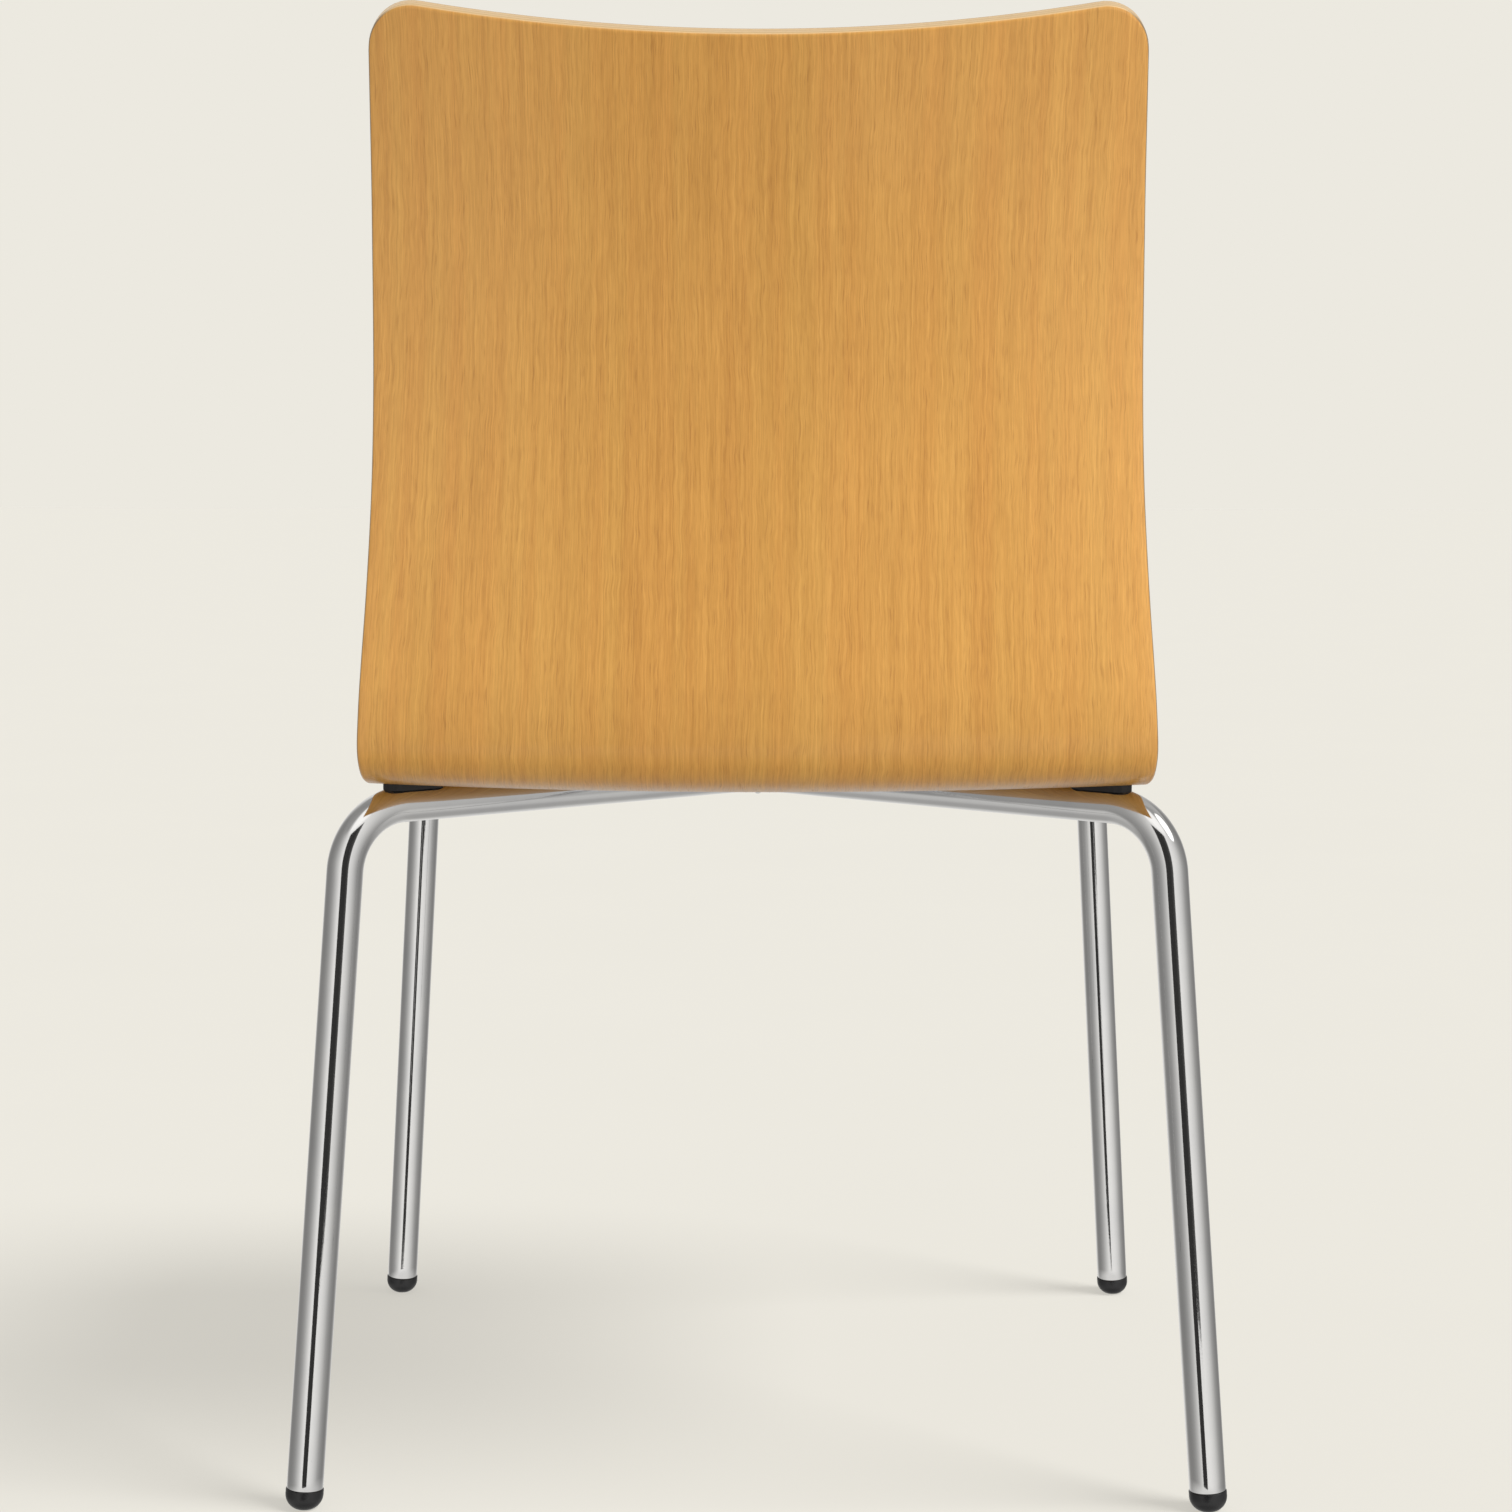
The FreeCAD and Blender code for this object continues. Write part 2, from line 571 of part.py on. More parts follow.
# --------------------------------------------- screws, washers, spacers, inserts
for nm, sx, sy in SCREWS:
    x, y = screw_axis(sx, sy)
    face = "{screw_rear_face}" if sy > 0 else "{screw_front_face}"
    # washer under the plate
    b = body("washer_" + nm)
    s = sketch(b, b.Name + "_ring")
    circle(s, "{washer_dia}")
    circle(s, "{washer_bore}")
    pad(b, s, b.Name + "_pad", "{washer_thick}")
    place(b, x, y, "{bar_height} + {tube_od} / 2 - {washer_thick}")
    nodes.append(b)
    # screw, head down: local origin at the seat of the head
    b = body("screw_" + nm)
    s = sketch(b, b.Name + "_section", "XZ_Plane")
    profile(s, [(0, -3, "0", "-{head_height}"),
                (3, -3, "{head_dia} / 2 - 1.6", "-{head_height}"),
                (5, -1.5, "{head_dia} / 2", "-{head_height} / 2"),
                (5.5, 0, "{head_dia} / 2", "0"),
                (3, 0.5, "{screw_dia} / 2", "0"),
                (3, 16, "{screw_dia} / 2", "{screw_length} - 0.8"),
                (2, 18, "{screw_dia} / 2 - 0.8", "{screw_length}"),
                (0, 18.5, "0", "{screw_length}")])
    revolve(b, s, b.Name + "_turned")
    doc.recompute()
    k = sketch(b, b.Name + "_hex", "XY_Plane", "-{head_height}")
    r = D("hex_across") / math.sqrt(3)
    pts = []
    for q in range(6):
        a = math.pi / 3 * q
        cx_t = "{hex_across} * %.9f" % (math.cos(a) / math.sqrt(3))
        cy_t = "{hex_across} * %.9f" % (math.sin(a) / math.sqrt(3))
        pts.append((r * math.cos(a), r * math.sin(a), cx_t, cy_t))
    profile(k, pts)
    q = b.newObject("PartDesign::Pocket", b.Name + "_socket")
    q.Profile = k
    q.Reversed = True
    q.setExpression("Length", E("{hex_depth}"))
    doc.recompute()
    place(b, x, y, "{bar_height} + {tube_od} / 2 - {washer_thick}")
    nodes.append(b)
    # threaded insert in the shell
    b = body("insert_" + nm)
    s = sketch(b, b.Name + "_ring")
    circle(s, "{insert_dia}")
    circle(s, "{insert_bore}")
    pad(b, s, b.Name + "_pad", "{insert_length}")
    place(b, x, y, face + " + {insert_set_in}")
    nodes.append(b)
    # spacer from plate to shell, its top shaped to the shell
    b = body("blank_spacer_" + nm)
    s = sketch(b, b.Name + "_ring")
    circle(s, "{spacer_dia}")
    circle(s, "{screw_hole_dia}")
    pad(b, s, b.Name + "_pad", "{spacer_blank}")
    place(b, x, y, "{bar_height} + {tube_od} / 2 + {plate_thick}")
    doc.recompute()
    cut_node("spacer_" + nm, b, [shell_blank])

# --------------------------------------------------------------------- pads
through_node, half_left_node, half_right_node = nodes[0], nodes[1], nodes[2]
PADS = [("rear_left", 1, 1, through_node), ("front_right", -1, -1, through_node),
        ("front_left", 1, -1, half_left_node), ("rear_right", -1, 1, half_right_node)]
ca, sa = math.cos(math.radians(D("frame_turn"))), math.sin(math.radians(D("frame_turn")))
for nm, sx, sy, tube in PADS:
    b = body("blank_pad_" + nm)
    blank = "{pad_rear_blank}" if sy > 0 else "{pad_front_blank}"
    bl = D("pad_rear_blank") if sy > 0 else D("pad_front_blank")
    print("face over pad", nm, face_low_at(sx * D("stem_bore_reach") * ca,
                                           sy * D("stem_bore_reach") * sa + D("y_shift")))
    s = sketch(b, b.Name + "_section", "XZ_Plane")
    profile(s, [(0, -5, "0", "-{pad_stem_length}"),
                (3, -5, "{pad_stem_dia} / 2 - 0.6", "-{pad_stem_length}"),
                (3.5, -4, "{pad_stem_dia} / 2", "-{pad_stem_length} + 0.8"),
                (3.5, 1, "{pad_stem_dia} / 2", "1.0"),
                (0, 1, "0", "1.0")])
    revolve(b, s, b.Name + "_stem")
    s = sketch(b, b.Name + "_outline", "XY_Plane", "-{pad_saddle}")
    oblong(s, "{pad_long}", "{pad_wide}", D("pad_long"), D("pad_wide"))
    pad(b, s, b.Name + "_block", blank + " + {pad_saddle}")
    place(b, "%s{stem_bore_reach} * %.9f" % ("" if sx > 0 else "-", ca),
          "%s{stem_bore_reach} * %.9f + {y_shift}" % ("" if sy > 0 else "-", sa),
          "{bar_height} + {tube_od} / 2", math.degrees(math.atan2(sy * sa, sx * ca)))
    doc.recompute()
    cut_node("pad_" + nm, b, [shell_blank, tube])

# ------------------------------------------------------------------- glides
floor_cut = doc.addObject("Part::Box", "under_floor")
floor_cut.Length, floor_cut.Width, floor_cut.Height = 1200, 1200, 40
floor_cut.Placement = FreeCAD.Placement(V(-600, -600, -40), FreeCAD.Rotation())
for nm, sx, sy in (("rear_left", 1, 1), ("front_right", -1, -1), ("front_left", 1, -1), ("rear_right", -1, 1)):
    word_r, word_s = side_words(sy > 0)
    b = body("blank_glide_" + nm)
    s = sketch(b, b.Name + "_section", "XZ_Plane")
    # flattened dome: rounded corner, then collar, ribbed stem, back along the axis to the flat
    rg, col, rc = D("glide_dia") / 2, D("glide_collar"), D("glide_corner")
    rs, rr, ln = D("glide_stem_dia") / 2, D("glide_rib_dia") / 2, D("glide_stem_length")
    arc = s.addGeometry(Part.ArcOfCircle(Part.Circle(V(rg - rc, -col, 0), V(0, 0, 1), rc),
                                         -math.pi / 2, 0.0), False)
    line_pts = [(rg, -col, "{glide_dia} / 2", "-{glide_collar}"),
                (rg, -0.4, "{glide_dia} / 2", "-0.4"),
                (rg - 0.4, 0, "{glide_dia} / 2 - 0.4", "0"),
                (rs, 0, "{glide_stem_dia} / 2", "0")]
    for j in range(3):
        z = 3.0 + 5.0 * j
        line_pts += [(rs, z, "{glide_stem_dia} / 2", "%.1f" % z),
                     (rr, z, "{glide_rib_dia} / 2", "%.1f" % z),
                     (rr, z + 1.2, "{glide_rib_dia} / 2", "%.1f" % (z + 1.2)),
                     (rs, z + 2.4, "{glide_stem_dia} / 2", "%.1f" % (z + 2.4))]
    line_pts += [(rs, ln - 1, "{glide_stem_dia} / 2", "{glide_stem_length} - 1"),
                 (rs - 1, ln, "{glide_stem_dia} / 2 - 1", "{glide_stem_length}"),
                 (0, ln, "0", "{glide_stem_length}"),
                 (0, -col - rc, "0", "-{glide_collar} - {glide_corner}"),
                 (rg - rc, -col - rc, "{glide_dia} / 2 - {glide_corner}", "-{glide_collar} - {glide_corner}")]
    seg = []
    for j in range(len(line_pts) - 1):
        a, c = line_pts[j], line_pts[j + 1]
        seg.append(s.addGeometry(Part.LineSegment(V(a[0], a[1], 0), V(c[0], c[1], 0)), False))
    s.addConstraint(Sketcher.Constraint("Coincident", arc, 2, seg[0], 1))
    for j in range(len(seg) - 1):
        s.addConstraint(Sketcher.Constraint("Coincident", seg[j], 2, seg[j + 1], 1))
    s.addConstraint(Sketcher.Constraint("Coincident", seg[-1], 2, arc, 1))
    for j in range(len(seg)):
        c = s.addConstraint(Sketcher.Constraint("DistanceX", -1, 1, seg[j], 1, line_pts[j][0]))
        s.setExpression("Constraints[%d]" % c, E(line_pts[j][2]))
        c = s.addConstraint(Sketcher.Constraint("DistanceY", -1, 1, seg[j], 1, line_pts[j][1]))
        s.setExpression("Constraints[%d]" % c, E(line_pts[j][3]))
    for pos, what in ((2, seg[-1]), (3, arc)):
        c = s.addConstraint(Sketcher.Constraint("DistanceX", -1, 1, what, pos, rg - rc))
        s.setExpression("Constraints[%d]" % c, E("{glide_dia} / 2 - {glide_corner}"))
    c = s.addConstraint(Sketcher.Constraint("DistanceY", -1, 1, seg[-1], 2, -col - rc))
    s.setExpression("Constraints[%d]" % c, E("-{glide_collar} - {glide_corner}"))
    revolve(b, s, b.Name + "_turned")
    yaw = math.degrees(math.atan2(sy * sa, sx * ca))
    b.Placement = FreeCAD.Placement(V(0, 0, 0), FreeCAD.Rotation(V(0, 0, 1), yaw)
                                    * FreeCAD.Rotation(V(0, 1, 0), -D(word_s)))
    reach = "({%s} + ({bar_height} - {leg_end_height}) * tan({%s} * 1 deg))" % (word_r, word_s)
    b.setExpression("Placement.Base.x", E("%s%s * %.9f" % ("" if sx > 0 else "-", reach, ca)))
    b.setExpression("Placement.Base.y", E("%s%s * %.9f + {y_shift}" % ("" if sy > 0 else "-", reach, sa)))
    b.setExpression("Placement.Base.z", E("{leg_end_height}"))
    doc.recompute()
    cut_node("glide_" + nm, b, [floor_cut])

# --------------------------------------------------------------- weld beads
# The joint line of two equal tubes is a pair of ellipses in the XZ and YZ planes;
# one bead runs up each of the four corners of the crossing.
R = D("tube_od") / 2
solid_a = Part.makeCylinder(R, 160, V(-80 * ca, -80 * sa, BAR), V(ca, sa, 0))
solid_b = Part.makeCylinder(R, 160, V(80 * ca, -80 * sa, BAR), V(-ca, sa, 0))
for nm, ux, uy in (("left", 1, 0), ("right", -1, 0), ("rear", 0, 1), ("front", 0, -1)):
    turn = math.radians(D("frame_turn"))
    major = R / (math.sin(turn) if ux else math.cos(turn))
    pts = []
    for k in range(15):
        a = math.radians(-66 + (50 + 66) * k / 14.0)
        pts.append(V(ux * major * math.cos(a), uy * major * math.cos(a), BAR + R * math.sin(a)))
    line = Part.BSplineCurve()
    line.interpolate(pts)
    start = line.value(line.FirstParameter)
    tan = line.tangent(line.FirstParameter)[0]
    ring = Part.Wire([Part.makeCircle(D("weld_radius"), start, tan)])
    tube = Part.Wire([line.toShape()]).makePipeShell([ring], True, True)
    bead = tube.cut(solid_a).cut(solid_b)
    outer = max(bead.Solids, key=lambda q: q.CenterOfMass.dot(V(ux, uy, 0)))
    print("weld", nm, [round(q.Volume, 1) for q in bead.Solids], outer.isValid())
    weld = doc.addObject("Part::Feature", "weld_bead_" + nm)
    weld.Label = "weld_bead_" + nm
    weld.Shape = outer
    weld.Placement = FreeCAD.Placement(V(0, D("y_shift"), 0), FreeCAD.Rotation())
    nodes.append(weld)

# ------------------------------------------------------------ check and write
doc.recompute()
bad = []
for o in doc.Objects:
    if any(w in ("Invalid", "Error") for w in o.State):
        bad.append((o.Label, o.State))
if bad:
    raise RuntimeError("objects in error: %s" % bad)
os.makedirs("parts", exist_ok=True)
low = [1e9] * 3
high = [-1e9] * 3
for o in nodes:
    sh = o.Shape
    if sh.isNull() or not sh.isValid() or not sh.Solids:
        raise RuntimeError("bad shape: " + o.Label)
    pts, _ = sh.tessellate(0.3)
    lo = [min(q[i] for q in pts) for i in range(3)]
    hi = [max(q[i] for q in pts) for i in range(3)]
    for i in range(3):
        low[i] = min(low[i], lo[i])
        high[i] = max(high[i], hi[i])
    print("%-22s %8.0f mm3  solids %d  x %.1f..%.1f  y %.1f..%.1f  z %.1f..%.1f" % (
        o.Label, sh.Volume, len(sh.Solids), lo[0], hi[0], lo[1], hi[1], lo[2], hi[2]))
    sh.exportStep("parts/%s.step" % o.Label)
print("whole", [round(v, 2) for v in low], [round(v, 2) for v in high], "nodes", len(nodes))
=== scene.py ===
import math
import bpy
from mathutils import Vector, Matrix


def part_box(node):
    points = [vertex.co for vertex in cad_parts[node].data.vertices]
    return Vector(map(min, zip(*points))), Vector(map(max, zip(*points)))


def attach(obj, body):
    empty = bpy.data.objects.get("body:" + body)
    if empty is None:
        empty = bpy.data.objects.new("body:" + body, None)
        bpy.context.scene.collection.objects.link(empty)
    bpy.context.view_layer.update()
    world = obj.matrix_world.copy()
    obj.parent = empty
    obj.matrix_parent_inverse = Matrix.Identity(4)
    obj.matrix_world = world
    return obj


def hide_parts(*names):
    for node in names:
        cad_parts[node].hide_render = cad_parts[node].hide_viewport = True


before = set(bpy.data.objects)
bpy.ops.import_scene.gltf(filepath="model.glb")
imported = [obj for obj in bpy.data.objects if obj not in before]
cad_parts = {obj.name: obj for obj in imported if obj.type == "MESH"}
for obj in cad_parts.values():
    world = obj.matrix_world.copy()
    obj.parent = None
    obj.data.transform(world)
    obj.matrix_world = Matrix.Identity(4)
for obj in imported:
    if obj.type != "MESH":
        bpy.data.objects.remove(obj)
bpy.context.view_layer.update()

scene = bpy.context.scene
MM = 0.001

# =====================================================================
# helpers
# =====================================================================
def rgb(r, g, b):
    """sRGB 0..255 to linear."""
    out = []
    for c in (r, g, b):
        c = c / 255.0
        out.append(c / 12.92 if c <= 0.04045 else ((c + 0.055) / 1.055) ** 2.4)
    return tuple(out) + (1.0,)


class Tree:
    """Short-hand for building a node tree."""

    def __init__(self, mat):
        mat.use_nodes = True
        self.t = mat.node_tree
        self.t.nodes.clear()
        self.x = 0

    def n(self, kind, **props):
        node = self.t.nodes.new(kind)
        node.location = (self.x, 0)
        self.x += 60
        for k, v in props.items():
            if k == "inp":
                for name, val in v.items():
                    if hasattr(val, "is_output") or isinstance(val, bpy.types.NodeSocket):
                        self.t.links.new(val, node.inputs[name])
                    else:
                        node.inputs[name].default_value = val
            else:
                setattr(node, k, v)
        return node

    def math(self, op, a, b=None, c=None, clamp=False):
        node = self.n("ShaderNodeMath", operation=op, use_clamp=clamp)
        for i, v in enumerate((a, b, c)):
            if v is None:
                continue
            if isinstance(v, bpy.types.NodeSocket):
                self.t.links.new(v, node.inputs[i])
            else:
                node.inputs[i].default_value = v
        return node.outputs[0]

    def combine(self, x, y, z):
        node = self.n("ShaderNodeCombineXYZ")
        for i, v in enumerate((x, y, z)):
            if isinstance(v, bpy.types.NodeSocket):
                self.t.links.new(v, node.inputs[i])
            else:
                node.inputs[i].default_value = v
        return node.outputs[0]

    def noise(self, vec, scale=1.0, detail=2.0, rough=0.5, lac=2.0, dist=0.0):
        node = self.n("ShaderNodeTexNoise", noise_dimensions="3D")
        self.t.links.new(vec, node.inputs["Vector"])
        node.inputs["Scale"].default_value = scale
        node.inputs["Detail"].default_value = detail
        node.inputs["Roughness"].default_value = rough
        node.inputs["Lacunarity"].default_value = lac
        node.inputs["Distortion"].default_value = dist
        return node.outputs["Fac"]

    def ramp(self, fac, stops, mode="LINEAR"):
        node = self.n("ShaderNodeValToRGB")
        node.color_ramp.interpolation = mode
        els = node.color_ramp.elements
        while len(els) > 1:
            els.remove(els[-1])
        for i, (p, c) in enumerate(stops):
            if not isinstance(c, (tuple, list)):
                c = (c, c, c, 1.0)
            if i == 0:
                els[0].position = p
                els[0].color = c
            else:
                e = els.new(p)
                e.color = c
        self.t.links.new(fac, node.inputs["Fac"])
        return node.outputs["Color"]

    def mix(self, fac, a, b, mode="MIX"):
        node = self.n("ShaderNodeMix", data_type="RGBA", blend_type=mode)
        for sock, v in ((node.inputs[0], fac), (node.inputs[6], a), (node.inputs[7], b)):
            if isinstance(v, bpy.types.NodeSocket):
                self.t.links.new(v, sock)
            else:
                sock.default_value = v
        return node.outputs[2]

    def map(self, v, a0, a1, b0, b1):
        node = self.n("ShaderNodeMapRange", clamp=True)
        self.t.links.new(v, node.inputs[0])
        for i, q in enumerate((a0, a1, b0, b1)):
            node.inputs[1 + i].default_value = q
        return node.outputs[0]

    def link(self, a, b):
        self.t.links.new(a, b)


def material(name):
    return bpy.data.materials.new(name)


def make_object(name, verts, faces, mat, smooth=True):
    me = bpy.data.meshes.new(name)
    me.from_pydata([tuple(v) for v in verts], [], faces)
    me.validate()
    me.update()
    if smooth:
        me.polygons.foreach_set("use_smooth", [True] * len(me.polygons))
    ob = bpy.data.objects.new(name, me)
    scene.collection.objects.link(ob)
    me.materials.append(mat)
    return ob


# =====================================================================
# materials
# =====================================================================
def veneer():
    m = material("oak_veneer")
    t = Tree(m)
    out = t.n("ShaderNodeOutputMaterial")
    bs = t.n("ShaderNodeBsdfPrincipled")
    t.link(bs.outputs[0], out.inputs[0])
    at = t.n("ShaderNodeAttribute", attribute_name="grain", attribute_type="GEOMETRY")
    sep = t.n("ShaderNodeSeparateXYZ")
    t.link(at.outputs["Vector"], sep.inputs[0])
    gx, gs, gh = sep.outputs[0], sep.outputs[1], sep.outputs[2]
    # the two faces come from different leaves
    leaf = t.map(gh, 0.0045, 0.0065, 0.0, 3.7)
    # slow drift of the grain across the sheet, more on one side
    drift_in = t.combine(t.math("MULTIPLY", gx, 3.0), t.math("MULTIPLY", gs, 1.5), leaf)
    drift = t.math("SUBTRACT", t.noise(drift_in, 1.0, 2.0, 0.45), 0.5)
    lean = t.map(gx, 0.02, 0.20, 0.0, 0.045)
    gx2 = t.math("ADD", t.math("ADD", gx, t.math("MULTIPLY", drift, 0.026)),
                 t.math("MULTIPLY", lean, gs))
    # the fibres wander a little along their length
    wander = t.noise(t.combine(t.math("MULTIPLY", gx, 45.0), t.math("MULTIPLY", gs, 62.0), leaf), 1.0, 1.0, 0.5)
    gx2 = t.math("ADD", gx2, t.map(wander, 0.25, 0.75, -0.0006, 0.0006))

    def coord(sx, ss, seed):
        return t.combine(t.math("MULTIPLY", gx2, sx), t.math("MULTIPLY", gs, ss),
                         t.math("ADD", leaf, seed))
    broad = t.noise(coord(11.0, 0.55, 0.0), 1.0, 2.0, 0.5)
    band = t.noise(coord(60.0, 1.2, 5.0), 1.0, 3.0, 0.55)
    mid = t.noise(coord(210.0, 3.0, 9.0), 1.0, 3.0, 0.6)
    fine = t.noise(coord(900.0, 13.0, 13.0), 1.0, 2.0, 0.6)
    hair = t.noise(coord(1700.0, 45.0, 17.0), 1.0, 2.0, 0.6)
    pore = t.noise(coord(1500.0, 70.0, 21.0), 1.0, 1.0, 0.5)
    pore_zone = t.noise(coord(200.0, 12.0, 25.0), 1.0, 2.0, 0.5)
    shimmer = t.noise(coord(420.0, 95.0, 29.0), 1.0, 2.0, 0.6)
    # colour
    base = t.mix(t.map(broad, 0.30, 0.70, 0.0, 1.0), (0.665, 0.330, 0.064, 1), (0.712, 0.366, 0.080, 1))
    base = t.mix(t.map(band, 0.36, 0.64, 0.0, 0.55), base, (0.684, 0.310, 0.060, 1))
    tone = t.math("ADD", t.map(mid, 0.30, 0.70, -0.060, 0.055), t.map(fine, 0.30, 0.70, -0.095, 0.090))
    tone = t.math("ADD", tone, t.map(hair, 0.3, 0.7, -0.07, 0.07))
    tone = t.math("ADD", tone, t.map(shimmer, 0.3, 0.7, -0.030, 0.030))
    pore_mask = t.math("MULTIPLY", t.map(pore, 0.57, 0.68, 0.0, 1.0), t.map(pore_zone, 0.40, 0.62, 0.40, 1.0))
    tone = t.math("SUBTRACT", tone, t.math("MULTIPLY", pore_mask, 0.15))
    factor = t.math("ADD", tone, 1.0)
    # darker fibres are also browner
    tint = t.combine(factor, t.math("POWER", factor, 1.3), t.math("POWER", factor, 1.8))
    vm = t.n("ShaderNodeVectorMath", operation="MULTIPLY")
    t.link(base, vm.inputs[0])
    t.link(tint, vm.inputs[1])
    face_col = vm.outputs[0]
    # the layers seen on the rim: alternate long grain and end grain
    ply_n = t.noise(t.combine(t.math("MULTIPLY", gx, 260.0), t.math("MULTIPLY", gs, 260.0),
                              t.math("MULTIPLY", gh, 900.0)), 1.0, 3.0, 0.6)
    wave = t.math("SINE", t.math("MULTIPLY", gh, 2.0 * math.pi / 0.0031))
    ply = t.map(wave, -0.25, 0.25, 0.0, 1.0)
    glue = t.math("ABSOLUTE", wave)
    glue_mask = t.map(glue, 0.0, 0.22, 1.0, 0.0)
    rim = t.mix(ply, rgb(222, 186, 130), rgb(236, 203, 150))
    rim = t.mix(t.math("MULTIPLY", glue_mask, 0.35), rim, rgb(150, 104, 58))
    rim = t.mix(t.map(ply_n, 0.3, 0.7, 0.0, 0.22), rim, rgb(196, 150, 92))
    lo = t.map(gh, 0.0006, 0.0011, 0.0, 1.0)
    hi = t.map(gh, 0.0099, 0.0104, 1.0, 0.0)
    rim_mask = t.math("MULTIPLY", lo, hi)
    col = t.mix(rim_mask, face_col, rim)
    # painted shade: the far ease of the top edge and the near ease of the sides are painted grey for the shade
    # on these rounded edges
    far_ease_painted_shade = t.map(gh, 0.0090, 0.0096, 0.0, 0.85)
    far_ease_painted_shade = t.math("MULTIPLY", far_ease_painted_shade, t.map(gh, 0.01092, 0.01099, 1.0, 0.0))
    far_ease_painted_shade = t.math("MULTIPLY", far_ease_painted_shade, t.map(gs, 0.770, 0.800, 0.15, 1.0))
    ax = t.math("ABSOLUTE", gx)
    near_ease_painted_shade = t.math("MULTIPLY", t.map(gh, 0.0004, 0.0008, 0.0, 0.8), t.map(gh, 0.0020, 0.0028, 1.0, 0.0))
    near_ease_painted_shade = t.math("MULTIPLY", near_ease_painted_shade, t.map(ax, 0.188, 0.196, 0.0, 1.0))
    # grey painted shade mixed into the far and near eases
    col = t.mix(far_ease_painted_shade, col, rgb(122, 108, 92))
    col = t.mix(near_ease_painted_shade, col, rgb(112, 100, 86))
    t.link(col, bs.inputs["Base Color"])
    # satin lacquer
    rough = t.math("ADD", t.map(fine, 0.3, 0.7, 0.36, 0.44), t.math("MULTIPLY", pore_mask, 0.12))
    t.link(rough, bs.inputs["Roughness"])
    bs.inputs["Specular IOR Level"].default_value = 0.45
    bs.inputs["Coat Weight"].default_value = 0.35
    bs.inputs["Coat Roughness"].default_value = 0.22
    height = t.math("SUBTRACT", t.math("MULTIPLY", t.math("ADD", fine, t.math("MULTIPLY", hair, 0.5)), 0.5),
                    t.math("MULTIPLY", pore_mask, 0.9))
    bump = t.n("ShaderNodeBump", inp={"Strength": 0.35, "Distance": 0.00012})
    t.link(height, bump.inputs["Height"])
    t.link(bump.outputs[0], bs.inputs["Normal"])
    return m


def chrome():
    m = material("polished_chrome")
    t = Tree(m)
    out = t.n("ShaderNodeOutputMaterial")
    bs = t.n("ShaderNodeBsdfPrincipled")
    t.link(bs.outputs[0], out.inputs[0])
    tc = t.n("ShaderNodeTexCoord")
    ob = tc.outputs["Object"]
    cloud = t.noise(ob, 22.0, 3.0, 0.6)
    speck = t.noise(ob, 900.0, 2.0, 0.6)
    lapped = t.noise(ob, 150.0, 2.0, 0.5)
    col = t.mix(t.map(cloud, 0.3, 0.7, 0.0, 1.0), (0.735, 0.735, 0.74, 1), (0.80, 0.795, 0.79, 1))
    col = t.mix(t.map(speck, 0.66, 0.78, 0.0, 0.25), col, (0.50, 0.50, 0.50, 1))
    t.link(col, bs.inputs["Base Color"])
    bs.inputs["Metallic"].default_value = 1.0
    r = t.math("ADD", t.map(cloud, 0.3, 0.7, 0.045, 0.085), t.map(speck, 0.4, 0.7, 0.0, 0.03))
    t.link(r, bs.inputs["Roughness"])
    h = t.math("ADD", t.math("MULTIPLY", lapped, 1.0), t.math("MULTIPLY", speck, 0.06))
    bump = t.n("ShaderNodeBump", inp={"Strength": 0.25, "Distance": 0.00006})
    t.link(h, bump.inputs["Height"])
    t.link(bump.outputs[0], bs.inputs["Normal"])
    return m


def zinc():
    m = material("zinc_plated_steel")
    t = Tree(m)
    out = t.n("ShaderNodeOutputMaterial")
    bs = t.n("ShaderNodeBsdfPrincipled")
    t.link(bs.outputs[0], out.inputs[0])
    tc = t.n("ShaderNodeTexCoord")
    ob = tc.outputs["Object"]
    spangle = t.n("ShaderNodeTexVoronoi", feature="F1")
    t.link(ob, spangle.inputs["Vector"])
    spangle.inputs["Scale"].default_value = 240.0
    sc = t.n("ShaderNodeSeparateColor")
    t.link(spangle.outputs["Color"], sc.inputs[0])
    cloud = t.noise(ob, 60.0, 3.0, 0.6)
    lines = t.n("ShaderNodeMapping")
    t.link(ob, lines.inputs["Vector"])
    lines.inputs["Scale"].default_value = (30.0, 1400.0, 60.0)
    brush = t.noise(lines.outputs[0], 1.0, 2.0, 0.6)
    col = t.mix(t.map(sc.outputs[0], 0.0, 1.0, 0.0, 0.6), (0.50, 0.51, 0.53, 1), (0.64, 0.65, 0.66, 1))
    col = t.mix(t.map(cloud, 0.45, 0.75, 0.0, 0.4), col, (0.42, 0.41, 0.38, 1))
    t.link(col, bs.inputs["Base Color"])
    bs.inputs["Metallic"].default_value = 1.0
    t.link(t.math("ADD", t.map(brush, 0.3, 0.7, 0.26, 0.40), t.map(cloud, 0.3, 0.7, 0.0, 0.08)),
           bs.inputs["Roughness"])
    bump = t.n("ShaderNodeBump", inp={"Strength": 0.3, "Distance": 0.00008})
    t.link(brush, bump.inputs["Height"])
    t.link(bump.outputs[0], bs.inputs["Normal"])
    return m


